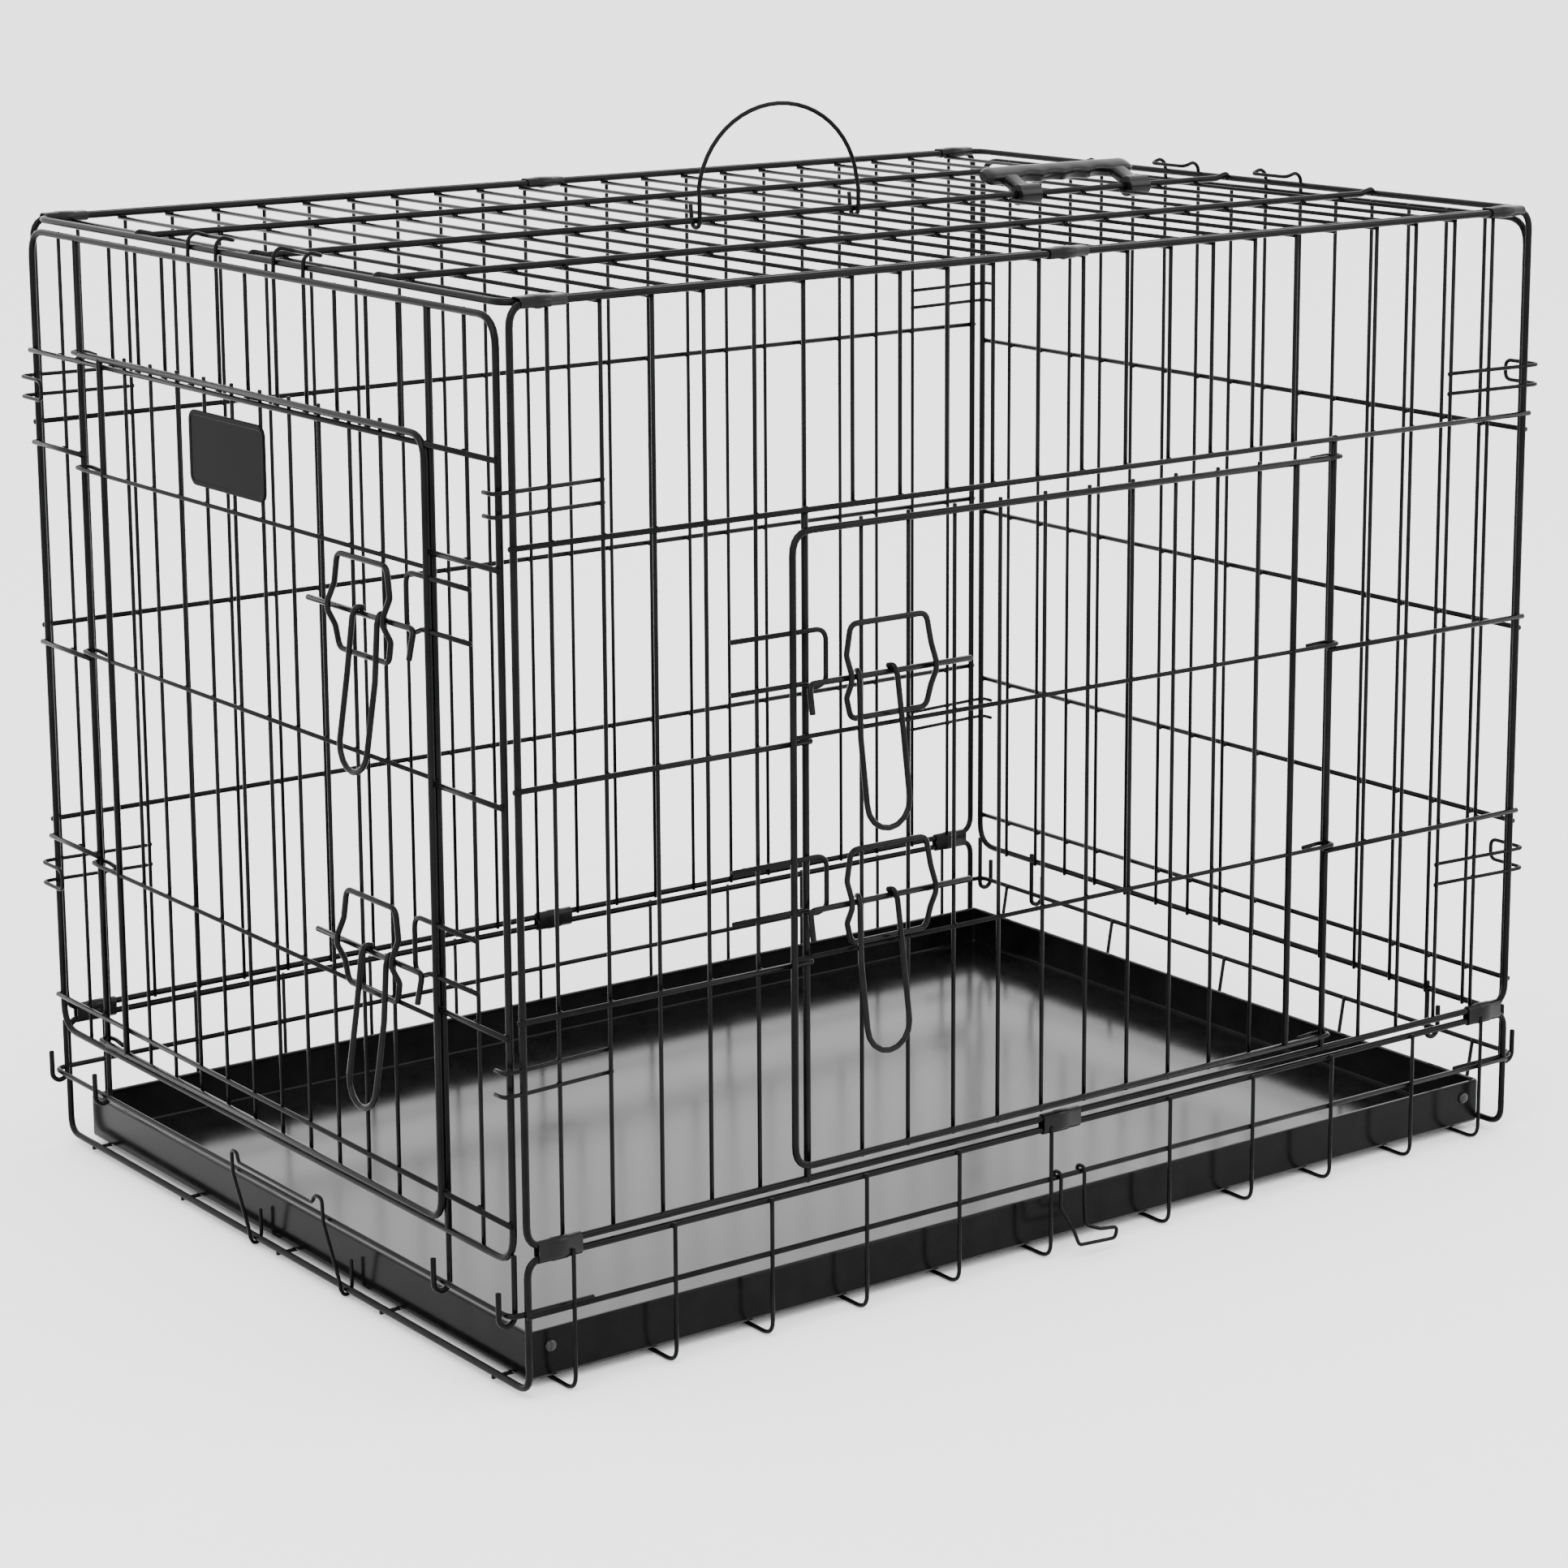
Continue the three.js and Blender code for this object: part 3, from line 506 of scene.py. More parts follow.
def end_panel(x_at, has_door):
    """x_at gives the x that lies so far out from the panel's end of the crate."""
    s = Shape()
    x = x_at(END_OUT)
    corners = [(END_EDGE, END_BOTTOM), (END_FAR, END_BOTTOM), (END_FAR, END_TOP), (END_EDGE, END_TOP)]
    s.wire([(x, y, z) for y, z in corners], FRAME_R, bend=END_BEND, closed=True, sides=THICK_SIDES)
    rail = x_at(END_RAIL_OUT)
    stubs = (END_EDGE - END_STUB, END_FAR + END_STUB)
    for i, z in enumerate(END_RAILS):
        spans = [stubs]
        if has_door and i > 0:
            spans = [(stubs[0], LATCH_Y + POST_GAP), (HINGE_Y - POST_GAP, stubs[1])]
        for a, b in spans:
            s.wire([(rail, a, z), (rail, b, z)], RAIL_R)
            for y in (END_EDGE, END_FAR):
                if a < y < b:
                    s.blob((x_at(END_POST_WELD), y, z), (2.8, 3.0, 2.8))
    welded = END_RAILS
    if has_door:
        welded = (*END_RAILS, END_HEADER)
        s.wire([(rail, stubs[0], END_HEADER), (rail, stubs[1], END_HEADER)], RAIL_R)
        for y in (LATCH_Y, HINGE_Y):
            s.wire([(x, y, END_BOTTOM - 1), (x, y, END_TOP + 1)], FRAME_R, sides=THICK_SIDES)
            for z in welded:
                s.blob((x_at(END_POST_WELD), y, z), (3.0, 3.0, 3.0))
    for i, y in enumerate(END_YS[1:-1], start=1):
        if has_door and any(abs(y - post) < POST_REACH for post in (LATCH_Y, HINGE_Y)):
            continue
        over_doorway = has_door and LATCH_Y < y < HINGE_Y
        low = (END_HEADER if over_doorway else END_BOTTOM) - END_STUB
        arched = i in LOOPS or i - 1 in LOOPS
        end_grid_wire(s, x_at, y, low, END_TOP - 6 if arched else END_TOP + 2, welded)
    for y in HOOK_YS:
        rail_hook(s, x_at, y)
    for first in LOOPS:
        top_loop(s, x_at, END_YS[first], END_YS[first + 1])
    return s


put("front_end_wires", end_panel(front_x, True), "front_panel", WIRE, "wire_enamel", "front_end_panel")
put("rear_end_wires", end_panel(rear_x, False), "rear_panel", WIRE, "wire_enamel", "rear_end_panel")

# ---------------------------------------------------------------- base
BASE_TOP = 98
BASE_BEND = 13
SKIRT_Z = 60
SKIRT_Y = 0.6
FLOOR_Z = 6.8  # of the end floor rails, part of the frame loop
RUNNER_Z = 4.25
CROSS_XS = (36, 117, 197, 278, 360, 444, 557, 639, 719, 804, 878)
CROSS_OUT = 1.6
CROSS_BEND = 11
RUNNER_YS = (45, 190, 335, 480, 625)
E_RAIL_BACK = 55  # how far the end rails return along the sides
E_RAIL_EDGE = 4


def frame_loop(shape):
    """One bent wire: over the two long top edges, and down and across under the ends."""
    front, rear = FRAME_R, LENGTH - FRAME_R
    near, far = SIDE_FRAME_Y, WIDTH - SIDE_FRAME_Y
    corners = [(front, near, FLOOR_Z), (front, near, BASE_TOP), (rear, near, BASE_TOP),
               (rear, near, FLOOR_Z), (rear, far, FLOOR_Z), (rear, far, BASE_TOP),
               (front, far, BASE_TOP), (front, far, FLOOR_Z)]
    shape.wire(corners, FRAME_R, bend=BASE_BEND, closed=True, sides=THICK_SIDES)


def cross_wire(shape, x):
    """Down one skirt, across under the tray and up the other."""
    near, far = -CROSS_OUT, WIDTH + CROSS_OUT
    top = BASE_TOP + 2
    shape.wire([(x, near, top), (x, near, GRID_R), (x, far, GRID_R), (x, far, top)],
               GRID_R, bend=CROSS_BEND, sides=THIN_SIDES)
    for y in (near + 1.2, far - 1.2):
        shape.blob((x, y, SKIRT_Z), (2.2, 1.8, 2.2))
        shape.blob((x, y, BASE_TOP), (2.2, 1.8, 2.2))
    for y in RUNNER_YS:
        shape.blob((x, y, 2.9), (2.3, 2.3, 1.6))


def base():
    s = Shape()
    frame_loop(s)
    for rail_y, weld_y in ((SKIRT_Y, SKIRT_Y + 0.8), (WIDTH - SKIRT_Y, WIDTH - SKIRT_Y - 0.8)):
        s.wire([(0, rail_y, SKIRT_Z), (LENGTH, rail_y, SKIRT_Z)], RAIL_R)
        for x in (FRAME_R, LENGTH - FRAME_R):
            s.blob((x, weld_y, SKIRT_Z), (3, 2.6, 3))
    for x in CROSS_XS:
        cross_wire(s, x)
    for y in RUNNER_YS:
        s.wire([(0, y, RUNNER_Z), (LENGTH - 2, y, RUNNER_Z), (rear_x(E_RAIL_OUT - 2), y, E_RAIL_Z + 1.5)],
               GRID_R, bend=9, sides=THIN_SIDES)
        s.blob((FRAME_R, y, 5.2), (2.8, 2.3, 2.0))
        s.blob((rear_x(E_RAIL_OUT - 1.2), y, E_RAIL_Z), (2.2, 2.4, 2.4))
    for x_at in (front_x, rear_x):
        out = x_at(E_RAIL_OUT)
        tip = x_at(-E_RAIL_BACK)
        near, far = E_RAIL_EDGE, WIDTH - E_RAIL_EDGE
        s.wire([(tip, near, E_RAIL_Z), (out, near, E_RAIL_Z), (out, far, E_RAIL_Z), (tip, far, E_RAIL_Z)],
               RAIL_R, bend=9)
    return s


put("base_wires", base(), "root", WIRE, "wire_enamel", "base_frame")


# ---------------------------------------------------------------- top panel
TOP_INSET = 3
TOP_EDGE = 9
TOP_RAIL_YS = (MIDDLE_Y - 167, MIDDLE_Y, MIDDLE_Y + 167)
TOP_GRID_Z = HEIGHT - 3.6


def top():
    s = Shape()
    x0, x1 = TOP_INSET, LENGTH - TOP_INSET
    y0, y1 = TOP_EDGE, WIDTH - TOP_EDGE
    s.wire([(x0, y0, HEIGHT), (x1, y0, HEIGHT), (x1, y1, HEIGHT), (x0, y1, HEIGHT)],
           FRAME_R, bend=SIDE_BEND, closed=True, sides=THICK_SIDES)
    for y in TOP_RAIL_YS:
        # each rail's ends rise over the frame's end wires and turn down onto them
        s.wire([(x0 + 0.5, y, HEIGHT - 1), (x0 + 2.5, y, HEIGHT + 3), (x0 + 14, y, HEIGHT + 0.3),
                (x1 - 14, y, HEIGHT + 0.3), (x1 - 2.5, y, HEIGHT + 3), (x1 - 0.5, y, HEIGHT - 1)],
               FRAME_R, bend=5, sides=THICK_SIDES)
    for x in SIDE_XS:
        s.wire([(x, y0 - 2, TOP_GRID_Z), (x, y1 + 2, TOP_GRID_Z)], GRID_R, sides=THIN_SIDES)
        for y in (y0, y1, *TOP_RAIL_YS):
            s.blob((x, y, HEIGHT - 2.4), (2.3, 2.4, 2.0))
    return s


put("top_wires", top(), "root", WIRE, "wire_enamel", "top_panel")

# ---------------------------------------------------------------- doors and latches
# a door's points are given as at(reach, out, z): reach from the hinge along the door, out from it
DOOR_WIDTH = 495
DOOR_BEND = 16
DOOR_POST = 42  # reach of the upright next to the hinge
DOOR_GRID = [76 + PITCH * i for i in range(10)]
# each door's lower and upper edge and its rails, and the places of its two bolts, as heights
SIDE_DOOR = (117, 557, (264.5, 417.5))
SIDE_BOLTS = (298, 454)
FRONT_DOOR = (103, 632, (243, 406.5, 546))
FRONT_BOLTS = (272, 504)
FRAME_OUT = 5.4  # of the door's frame wire
ROD_OUT = FRAME_OUT + 4.6  # of the bolts' rods
BOLT_REACH = (347, 485)
PULL_REACH = 431
PULL_HALF = 18
PULL_DROP = 103
PULL_LEAN = 16  # how far its lower end stands out from the rod
GUIDE_REACH = (381, 453)
KEEPER_REACH = (467, 545)
KEEPER_OUT = 4.3
KEEPER_ABOVE = 35
KEEPER_BELOW = -0.5
KEEPER_WELDS = (515, 535)


def side_at(reach, out, z):
    return (HINGE_X - reach, SIDE_FRAME_Y - out, z)


def front_at(reach, out, z):
    return (-END_OUT - out, HINGE_Y - reach, z)


def door(at, low, high, rails):
    """A U-shaped frame wire and an upright, a grid behind them, and rails that end in hinge loops."""
    s = Shape()
    s.wire([at(10, FRAME_OUT, low), at(DOOR_WIDTH, FRAME_OUT, low), at(DOOR_WIDTH, FRAME_OUT, high),
            at(10, FRAME_OUT, high)], FRAME_R, bend=DOOR_BEND, sides=THICK_SIDES)
    s.wire([at(DOOR_POST, FRAME_OUT, low - 1), at(DOOR_POST, FRAME_OUT, high + 1)],
           FRAME_R, sides=THICK_SIDES)
    for reach in DOOR_GRID:
        s.wire([at(reach, FRAME_OUT - 2.8, low - 4), at(reach, FRAME_OUT - 2.8, high + 4)],
               GRID_R, sides=THIN_SIDES)
        for z in (low, high):
            s.blob(at(reach, FRAME_OUT - 1.8, z), (2.2, 2.2, 2.4))
    for z in rails:
        for reach in DOOR_GRID:
            s.blob(at(reach, FRAME_OUT - 1.2, z), (2.1, 2.1, 2.1))
        for reach in (DOOR_POST, DOOR_WIDTH):
            s.blob(at(reach, FRAME_OUT, z), (2.8, 2.8, 2.6))
    for z in (low, *rails, high):
        # the rails, and stubs of the same wire at the edges, end in loops round the hinge post
        span = DOOR_WIDTH + 2 if z in rails else DOOR_POST + 4
        rail_out = FRAME_OUT + 0.2
        s.wire([at(span, rail_out, z), at(8, rail_out, z), at(-3, 4.8, z), at(-5.2, 0, z),
                at(-3.2, -4.2, z), at(4, -4.8, z), at(21, -2.4, z)], LOOP_R, bend=5, sides=THIN_SIDES)
    return s


def guide(at, z):
    """A loop whose two upright sides bulge out over the bolt."""
    near, far = GUIDE_REACH
    flat = FRAME_OUT + 2.6
    bulge = ROD_OUT + 4.2
    s = Shape()

    def side(reach, inset):
        return [at(reach + inset, flat, z + 36), at(reach, flat + 0.5, z + 15), at(reach, bulge, z + 3),
                at(reach, bulge, z - 3), at(reach, flat + 0.5, z - 14), at(reach + inset, flat, z - 29)]
    s.wire([*side(near, 4), *reversed(side(far, -4))], LATCH_R, bend=7, closed=True)
    return s


def bolt(at, z):
    """The rod, bent down at its tip, and the long pull that hangs on it."""
    inner, tip = BOLT_REACH
    s = Shape()
    s.wire([at(inner, ROD_OUT, z), at(tip, ROD_OUT, z), at(tip + 1, ROD_OUT + 5, z - 20)], LATCH_R, bend=5)
    low = z - PULL_DROP
    bottom = []
    for k in range(9):
        a = math.pi * k / 8
        bottom.append(at(PULL_REACH - PULL_HALF * math.cos(a), ROD_OUT + PULL_LEAN + 1.5 * math.sin(a),
                         low + PULL_HALF - PULL_HALF * math.sin(a)))

    def leg(sign):
        # wraps over the rod, then leans out from the door
        reach = PULL_REACH + sign * PULL_HALF
        return [at(reach - sign * 5, ROD_OUT - 2.6, z + 3.5), at(reach - sign * 3, ROD_OUT + 2.4, z + 4.6),
                at(reach - sign * 2, ROD_OUT + 5.2, z - 2), at(reach, ROD_OUT + 9, z - 40)]
    s.wire([*leg(-1), *bottom, *reversed(leg(1))], LATCH_R, bend=6)
    return s


def keeper(at, z):
    """A wire loop on the panel, dipped where the bolt's tip rests."""
    near, far = KEEPER_REACH
    top, bottom = z + KEEPER_ABOVE, z + KEEPER_BELOW
    s = Shape()
    s.wire([at(far, KEEPER_OUT, top), at(near, KEEPER_OUT, top), at(near, KEEPER_OUT, bottom - 1),
            at(near + 9, KEEPER_OUT, bottom - 4), at(near + 19, KEEPER_OUT, bottom),
            at(far, KEEPER_OUT, bottom)], KEEPER_R, bend=9)
    for reach in KEEPER_WELDS:
        for weld_z in (top, bottom):
            s.blob(at(reach, KEEPER_OUT - 0.5, weld_z), (2.2, 2.2, 2.0))
    return s


put("side_door_wires", door(side_at, *SIDE_DOOR), "side_door", WIRE, "wire_enamel", "side_door")
put("front_door_wires", door(front_at, *FRONT_DOOR), "front_door", WIRE, "wire_enamel", "front_door")

for side, at, door_body, keeper_body, heights in (
        ("side", side_at, "side_door", "root", SIDE_BOLTS),
        ("front", front_at, "front_door", "front_panel", FRONT_BOLTS)):
    for level, z in zip(("lower", "upper"), heights):
        stem = f"{side}_{level}"
        put(f"{stem}_bolt_rod", bolt(at, z), f"{stem}_bolt", LATCH, "latch_wire", f"{stem}_bolt")
        put(f"{stem}_guide_loop", guide(at, z), door_body, LATCH, "latch_wire", f"{stem}_guide")
        put(f"{stem}_keeper_wire", keeper(at, z), keeper_body, WIRE, "wire_enamel", f"{stem}_keeper")


# ---------------------------------------------------------------- badge and tray
BADGE_REACH = (177, 285)
BADGE_ZS = (558, 612)
BADGE_CORNER = 8
BADGE_OUT = FRAME_OUT - 1.1  # of its back
TRAY_XS = (12, 900)
TRAY_YS = (19, 650)
TRAY_CORNER = 4.5


def rounded_outline(us, vs, inset, radius):
    """The rectangle of these two ranges, drawn in by inset and with round corners."""
    u0, u1 = us[0] + inset, us[1] - inset
    v0, v1 = vs[0] + inset, vs[1] - inset
    points = []
    for cu, cv, quarter in ((u1 - radius, v1 - radius, 0), (u0 + radius, v1 - radius, 1),
                            (u0 + radius, v0 + radius, 2), (u1 - radius, v0 + radius, 3)):
        for k in range(OUTLINE_STEPS + 1):
            a = math.pi / 2 * (quarter + k / OUTLINE_STEPS)
            points.append((cu + radius * math.cos(a), cv + radius * math.sin(a)))
    return points


def badge():
    """A blank pressed plate with a softly turned edge."""
    s = Shape()
    # how far each layer is drawn in from the outline, and how far it stands out
    layers = ((0.0, 0.0), (0.0, 1.0), (0.3, 1.5), (0.9, 1.8), (3.2, 1.8), (4.0, 1.4))
    sections = []
    for inset, out in layers:
        outline = rounded_outline(BADGE_REACH, BADGE_ZS, inset, BADGE_CORNER - inset)
        sections.append([front_at(u, BADGE_OUT + out, z) for u, z in outline])
    s.loft(sections)
    return s


put("badge_face", badge(), "front_door", PLATE, "badge_enamel", "badge_plate", smooth=12)


def tray():
    """An open pan of thin sheet with a rolled rim, drawn from its underside over the rim to its floor."""
    s = Shape()
    # how far each layer is drawn in from the pan's outline, and its height
    outside = ((2.0, 6.2), (0.5, 6.7), (0.0, 8.0), (0.0, 38.6))
    rim = ((0.5, 39.7), (1.5, 40.0), (3.4, 39.8), (4.0, 39.0), (3.4, 38.2), (2.2, 37.6))
    inside = ((2.0, 36.5), (2.0, 10.0), (2.6, 8.7), (4.0, 8.2))
    sections = []
    for inset, z in (*outside, *rim, *inside):
        outline = rounded_outline(TRAY_XS, TRAY_YS, inset, max(0.6, TRAY_CORNER - inset))
        sections.append([(x, y, z) for x, y in outline])
    s.loft(sections)
    return s


put("tray_pan", tray(), "root", TRAY_PAINT, "tray_enamel", "tray", smooth=15)


RIVET_Z = 28
RIVET_XS = {"front": 30, "rear": 882}
RIVET_WALLS = {"near": (18.9, 1), "far": (650.1, -1)}  # the wall's outer face, and its outward sign


def rivet(x, y, out):
    s = Shape()
    # radius and height of each ring of the head
    profile = ((4.5, 0.0), (4.5, 0.5), (4.1, 1.3), (3.0, 2.0), (1.6, 2.4), (0.4, 2.5))
    s.loft([[(x + r * math.cos(a), y - out * h, RIVET_Z + r * math.sin(a)) for a in circle_angles(20)]
            for r, h in profile])
    return s


for side, (y, out) in RIVET_WALLS.items():
    for end, x in RIVET_XS.items():
        stem = f"tray_rivet_{side}_{end}"
        put(f"{stem}_head", rivet(x, y, out), "root", RIVET, "rivet_steel", stem, smooth=40)


# ---------------------------------------------------------------- clips
CLIP_INNER = 2.75
CLIP_OUTER = 3.75
CLIP_HALF = 17.0
CLIP_BAND = 5.8  # half the width of the doubled sheet in the middle
CLIP_LAP = CLIP_OUTER + 0.45
CLIP_XS = {"front": 27, "middle": 455, "rear": LENGTH - 27}


def clip(x, a, b, flip):
    """A strip of sheet wrapped round two neighbouring wires, its seam overlapped on one side."""
    s = Shape()
    a, b = np.array(a, float), np.array(b, float)
    along = (b - a) / np.linalg.norm(b - a)
    across = np.array((-along[1], along[0]))

    def outline(reach):
        points = []
        for centre, start in ((b, 0), (a, 1)):
            for k in range(9):
                angle = math.pi * (start + k / 8)
                points.append(centre + reach * (math.cos(angle) * across + math.sin(angle) * along))
        return points

    edge = CLIP_OUTER - 0.2
    profile = ((-CLIP_HALF, CLIP_INNER), (-CLIP_HALF, edge), (-CLIP_HALF + 0.4, CLIP_OUTER),
               (-CLIP_BAND - 0.7, CLIP_OUTER), (-CLIP_BAND, CLIP_LAP), (CLIP_BAND, CLIP_LAP),
               (CLIP_BAND + 0.7, CLIP_OUTER), (CLIP_HALF - 0.4, CLIP_OUTER), (CLIP_HALF, edge),
               (CLIP_HALF, CLIP_INNER))
    s.loft([[(x + dx, y, z) for y, z in outline(reach)] for dx, reach in profile], close_ends=False)
    # the tab that locks the seam
    seam = (a + b) / 2 + flip * across * CLIP_OUTER
    s.blob((x, seam[0], seam[1]), (4.2, 0.9, 1.6))
    return s


# each edge's two wires, as (y, z), and the side on which the seam lies
CLIP_WIRES = {
    "near_bottom": ((SIDE_FRAME_Y, BASE_TOP), (SIDE_FRAME_Y, SIDE_BOTTOM), -1),
    "far_bottom": ((WIDTH - SIDE_FRAME_Y, BASE_TOP), (WIDTH - SIDE_FRAME_Y, SIDE_BOTTOM), 1),
    "near_top": ((SIDE_FRAME_Y, HEIGHT), (TOP_EDGE, HEIGHT), -1),
    "far_top": ((WIDTH - SIDE_FRAME_Y, HEIGHT), (WIDTH - TOP_EDGE, HEIGHT), 1),
}
for edge, (a, b, flip) in CLIP_WIRES.items():
    for spot, x in CLIP_XS.items():
        stem = f"clip_{edge}_{spot}"
        put(f"{stem}_sheet", clip(x, a, b, flip), "root", CLIP, "clip_steel", stem, smooth=45)

# ---------------------------------------------------------------- handles and hooks
BAIL_XS = (377, 524)
BAIL_EYE = 5.1  # radius of the eyes round the top's middle rail
BAIL_SHOULDER = HEIGHT + 16
BAIL_RISE = 67
BAIL_STEPS = 26


def bail():
    """A half-round wire handle with an open eye at each foot."""
    s = Shape()
    first, last = BAIL_XS
    near = MIDDLE_Y - BAIL_EYE

    def foot(x):
        eye = []
        for k in range(9):
            a = math.pi * k / 8
            eye.append((x, MIDDLE_Y + BAIL_EYE * math.cos(a), HEIGHT - BAIL_EYE * math.sin(a)))
        return [(x, MIDDLE_Y + 6.5, HEIGHT + 12), *eye, (x, near, BAIL_SHOULDER)]
    middle = (first + last) / 2
    arc = []
    for i in range(1, BAIL_STEPS):
        a = math.pi * (1 - i / BAIL_STEPS)
        x = middle + (last - first) / 2 * math.cos(a)
        arc.append((x, near + 1.5, BAIL_SHOULDER + BAIL_RISE * math.sin(a)))
    s.wire([*foot(first), *arc, *reversed(foot(last))], LOOP_R, bend=4)
    return s


put("bail_wire", bail(), "wire_bail", WIRE, "wire_enamel", "wire_bail_handle")


GRIP_TILT = math.radians(25)
GRIP_FEET = (694, 806)
GRIP_START = 672
GRIP_LENGTH = 150
GRIP_SECTIONS = 64
GRIP_REACH = (21.5, 38.0)  # the bar's inner and outer edge, from the rail
GRIP_HALF = 5.4
GRIP_ROUND = 9  # length over which the bar's ends taper
GRIP_TIP = 0.35  # a tip's thickness, as a share of the bar's
GROOVES = 4
GROOVE_DEPTH = 2.4
GROOVE_MARGIN = 8


def grip_point(x, v, w):
    """v runs from the middle rail along the tilted handle, w square to it."""
    return (x, MIDDLE_Y + v * math.cos(GRIP_TILT) - w * math.sin(GRIP_TILT),
            HEIGHT + v * math.sin(GRIP_TILT) + w * math.cos(GRIP_TILT))


def squarish(half_u, half_v, power):
    """A rounded rectangle: the lower the power, the squarer."""
    points = []
    for a in circle_angles(20):
        c, d = math.cos(a), math.sin(a)
        u = half_u * math.copysign(abs(c) ** power, c)
        v = half_v * math.copysign(abs(d) ** power, d)
        points.append((u, v))
    return points


def grip():
    """Moulded grip: a soft-edged bar with finger grooves, on two arms that end in barrels."""
    s = Shape()
    grip_end = GRIP_START + GRIP_LENGTH
    groove_start = GRIP_FEET[0] + GROOVE_MARGIN
    groove_end = GRIP_FEET[1] - GROOVE_MARGIN
    bar = []
    for i in range(GRIP_SECTIONS + 1):
        x = GRIP_START + GRIP_LENGTH * i / GRIP_SECTIONS
        inner, outer = GRIP_REACH
        from_end = min(1.0, (min(x - GRIP_START, grip_end - x) + 0.8) / GRIP_ROUND)
        full = GRIP_TIP + (1 - GRIP_TIP) * math.sqrt(max(0.0, 1 - (1 - from_end) ** 2))
        if groove_start < x < groove_end:
            groove = (x - groove_start) / (groove_end - groove_start) * GROOVES
            inner += GROOVE_DEPTH * abs(math.sin(math.pi * groove))
        middle = (outer + inner) / 2
        section = squarish((outer - inner) / 2 * full, GRIP_HALF * full, 0.6)
        bar.append([grip_point(x, middle + v, w) for v, w in section])
    s.loft(bar)
    # sections of an arm: distance from the rail, half width, half thickness
    arm = ((5.5, 8.4, 5.6), (9, 8.0, 5.0), (14, 7.2, 4.5), (20, 7.6, 4.5), (26, 8.6, 4.6))
    # rings of a barrel: place along the rail, radius
    barrel = ((-10.5, 3.4), (-10.5, 7.6), (-9.7, 8.4), (-6, 8.5),
              (6, 8.5), (9.7, 8.4), (10.5, 7.6), (10.5, 3.4))
    for x in GRIP_FEET:
        s.loft([[grip_point(x + u, v, w) for u, w in squarish(half_u, half_w, 0.5)]
                for v, half_u, half_w in arm])
        s.loft([[grip_point(x + dx, r * math.cos(a), r * math.sin(a)) for a in circle_angles(24)]
                for dx, r in barrel], close_ends=False)
    return s


put("grip_moulding", grip(), "carry_handle", PLASTIC, "grip_plastic", "carry_handle", smooth=40)


STOP_YS = (240, 370)
STOP_EYE = 4.6


def tray_stop():
    """A bail that hangs on the front floor rail and stands up in front of the tray."""
    s = Shape()
    axis_x, axis_z = FRAME_R, FLOOR_Z
    r = STOP_EYE

    def leg(y, inward):
        # an open foot round the floor rail, then up past the end rail to a shoulder and the bar
        return [(axis_x + r, y, axis_z + 20), (axis_x + r, y, axis_z), (axis_x + 2, y, axis_z - r),
                (axis_x - 2, y, axis_z - r), (axis_x - r, y, axis_z), (axis_x - r - 1, y, axis_z + 7),
                (-14.5, y, 60), (-15, y, 77), (-15.5, y + 9 * inward, 77), (-16, y + 12 * inward, 70.5)]
    s.wire([*leg(STOP_YS[0], 1), *reversed(leg(STOP_YS[1], -1))], HOOK_R, bend=5, sides=THIN_SIDES)
    return s


put("tray_stop_wire", tray_stop(), "tray_stop", WIRE, "wire_enamel", "tray_stop")


CLOSURE_XS = (452, 474)
CLOSURE_EYE = 4.0


def closure():
    """A hook that hangs from the near skirt rail by two eyes, its toe turned to the rear."""
    s = Shape()
    near, far = 1 - CLOSURE_EYE, 1 + CLOSURE_EYE
    top = SKIRT_Z + CLOSURE_EYE

    def eye(x):
        return [(x, far, SKIRT_Z - 3), (x, far, top), (x, near, top), (x, near, SKIRT_Z - 22)]
    toe = [(459, -10, 20), (462, -12, 10), (496, -12, 8), (498, -12, 16), (482, -12, 18), (471, -8, 22)]
    s.wire([*eye(CLOSURE_XS[0]), *toe, *reversed(eye(CLOSURE_XS[1]))], HOOK_R, bend=4, sides=THIN_SIDES)
    return s


put("closure_hook_wire", closure(), "closure_hook", WIRE, "wire_enamel", "closure_hook")

# every CAD node keeps a finish of its own, also where a finer piece stands for it
finishes = {"latch_wire": LATCH, "clip_steel": CLIP, "rivet_steel": RIVET, "tray_enamel": TRAY_PAINT,
            "grip_plastic": PLASTIC, "badge_enamel": PLATE}
for part in frame["record"]["subparts"]:
    node = frame["nodes"][part["node"]]
    node.data.materials.clear()
    node.data.materials.append(finishes.get(part["material_slot"], WIRE))

# ---------------------------------------------------------------- floor, light, camera, in metres
FLOOR_HALF = 30
FLOOR_DROP = 0.0002  # keeps the floor from flickering through the lowest wires
FLOOR_GREY = 0.95
WORLD_STRENGTH = 2.8
LAMP_TARGET = (0, 0, 0.3)

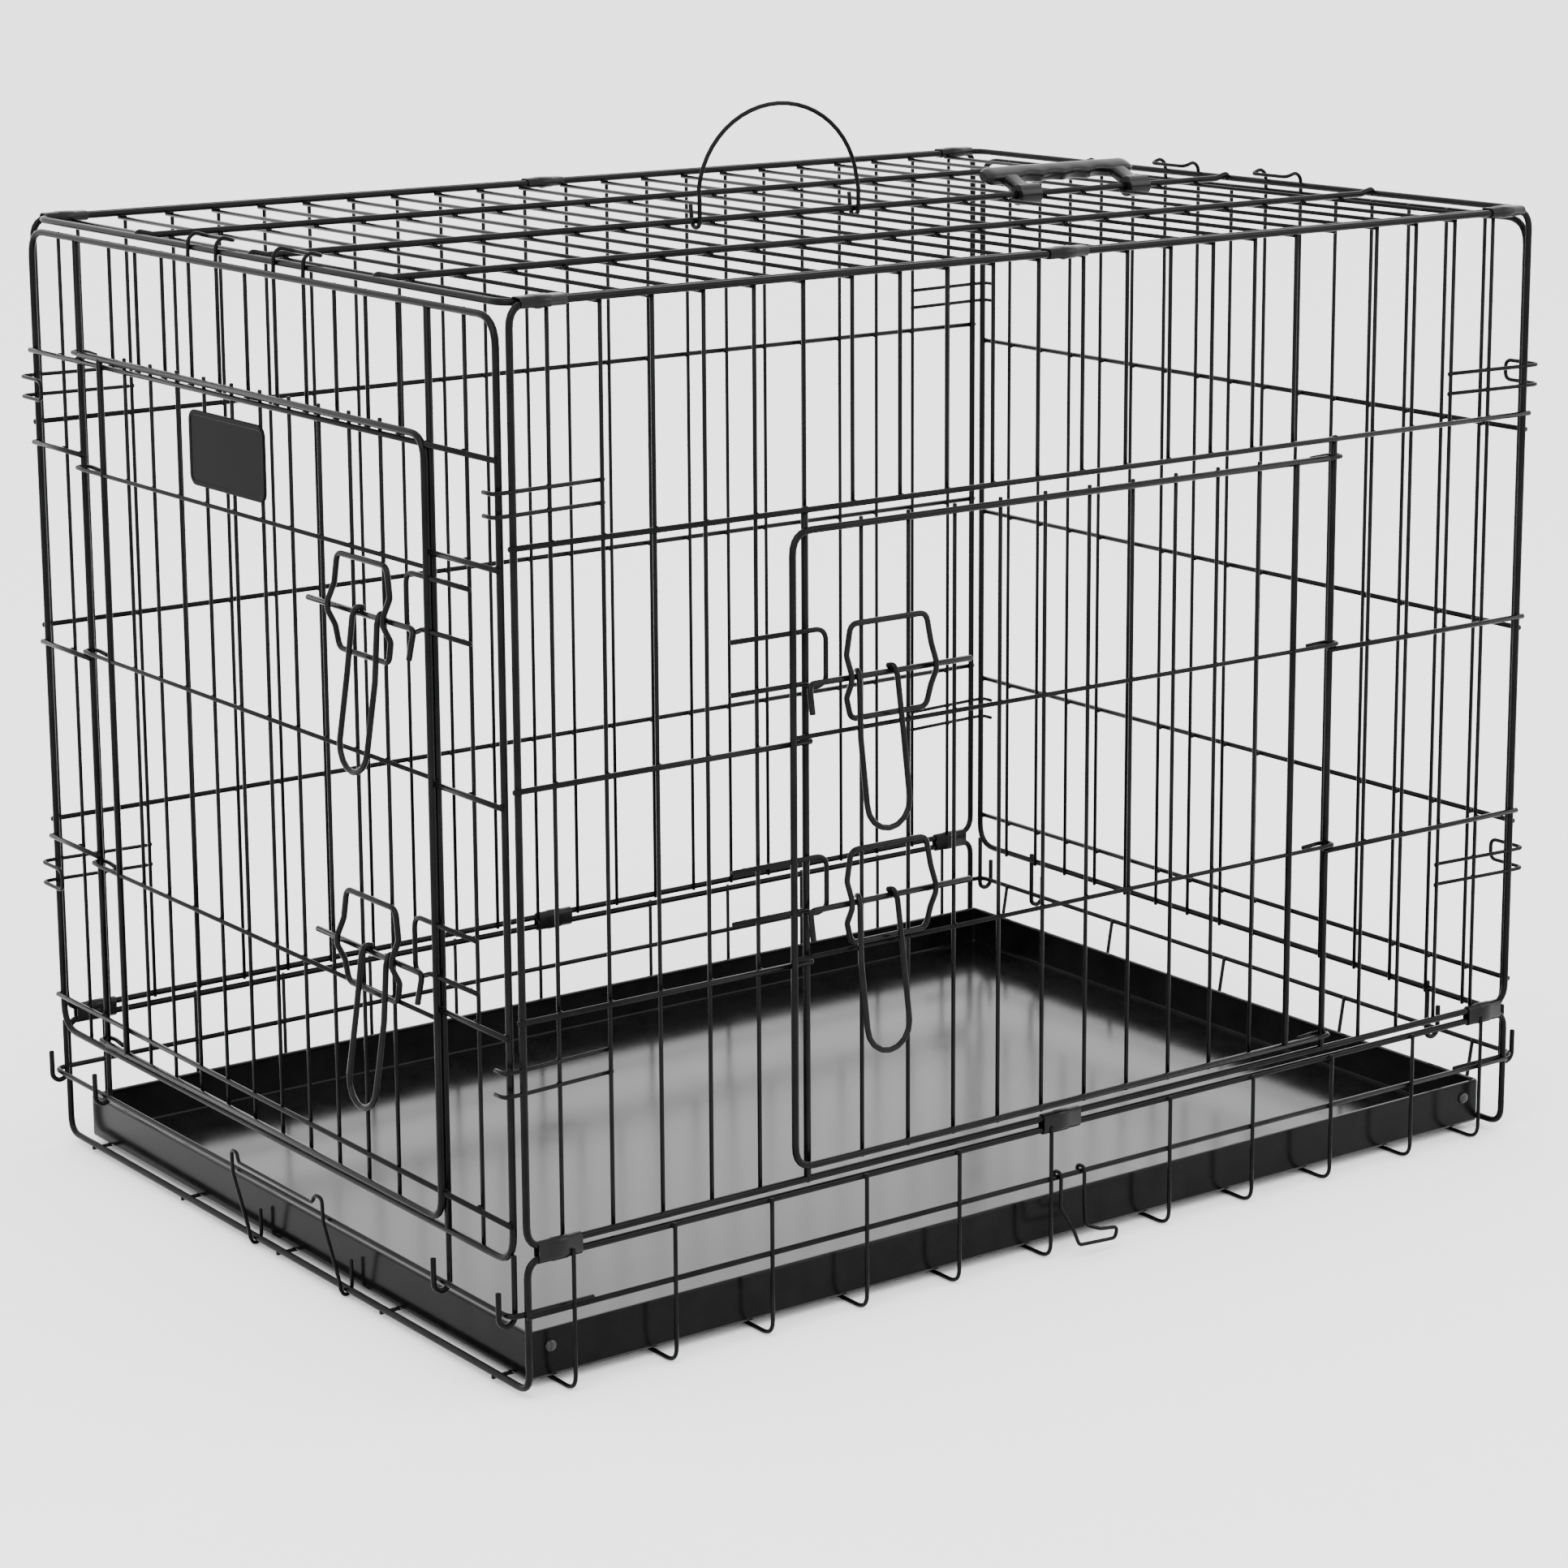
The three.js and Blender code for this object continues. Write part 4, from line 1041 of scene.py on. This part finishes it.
floor_mesh = bpy.data.meshes.new("floor")
floor_corners = [(-1, -1), (1, -1), (1, 1), (-1, 1)]
floor_mesh.from_pydata([(FLOOR_HALF * x, FLOOR_HALF * y, -FLOOR_DROP) for x, y in floor_corners],
                       [], [(0, 1, 2, 3)])
floor = bpy.data.objects.new("floor", floor_mesh)
bpy.context.scene.collection.objects.link(floor)
floor_paint = bpy.data.materials.new("pale_floor")
floor_paint.use_nodes = True
floor_shader = floor_paint.node_tree.nodes["Principled BSDF"]
floor_shader.inputs["Base Color"].default_value = (*[FLOOR_GREY] * 3, 1)
floor_shader.inputs["Roughness"].default_value = 0.95
floor_shader.inputs["Specular IOR Level"].default_value = 0.0
floor_mesh.materials.append(floor_paint)

world = bpy.data.worlds.new("studio")
bpy.context.scene.world = world
world.use_nodes = True
world.node_tree.nodes["Background"].inputs["Color"].default_value = (1, 1, 1, 1)
world.node_tree.nodes["Background"].inputs["Strength"].default_value = WORLD_STRENGTH


def softbox(name, where, size, power):
    light = bpy.data.lights.new(name, "AREA")
    light.shape = "RECTANGLE"
    light.size, light.size_y = size
    light.energy = power
    lamp = bpy.data.objects.new(name, light)
    lamp.location = where
    aim = Vector(LAMP_TARGET) - Vector(where)
    lamp.rotation_euler = aim.to_track_quat("-Z", "Y").to_euler()
    bpy.context.scene.collection.objects.link(lamp)


softbox("key", (-2.4, -1.6, 3.0), (2.6, 2.6), 90)
softbox("fill", (2.2, -2.6, 2.2), (2.2, 2.2), 45)

# the photo's viewpoint: where it stands in the crate, and how it is turned, in radians
CAMERA_AT = (-1332.46, -2106.15, 1034.72)
CAMERA_YAW = 0.9384
CAMERA_PITCH = -0.2044
CAMERA_ROLL = -0.0057
CAMERA_SENSOR = 36  # millimetres, like the lens
CAMERA_LENS = 92.67
CAMERA_SHIFT = -0.10  # share of the frame; leaves room round the crate in the other views

camera = bpy.data.cameras.new("camera")
camera.sensor_width = CAMERA_SENSOR
camera.lens = CAMERA_LENS
camera.shift_y = CAMERA_SHIFT
camera.clip_end = 100
viewpoint = bpy.data.objects.new("camera", camera)
viewpoint.location = place(CAMERA_AT)
aim = Euler((math.pi / 2 + CAMERA_PITCH, 0, CAMERA_YAW - math.pi / 2)).to_matrix()
viewpoint.rotation_euler = (aim @ Matrix.Rotation(CAMERA_ROLL, 3, "Z")).to_euler()
bpy.context.scene.collection.objects.link(viewpoint)
bpy.context.scene.camera = viewpoint
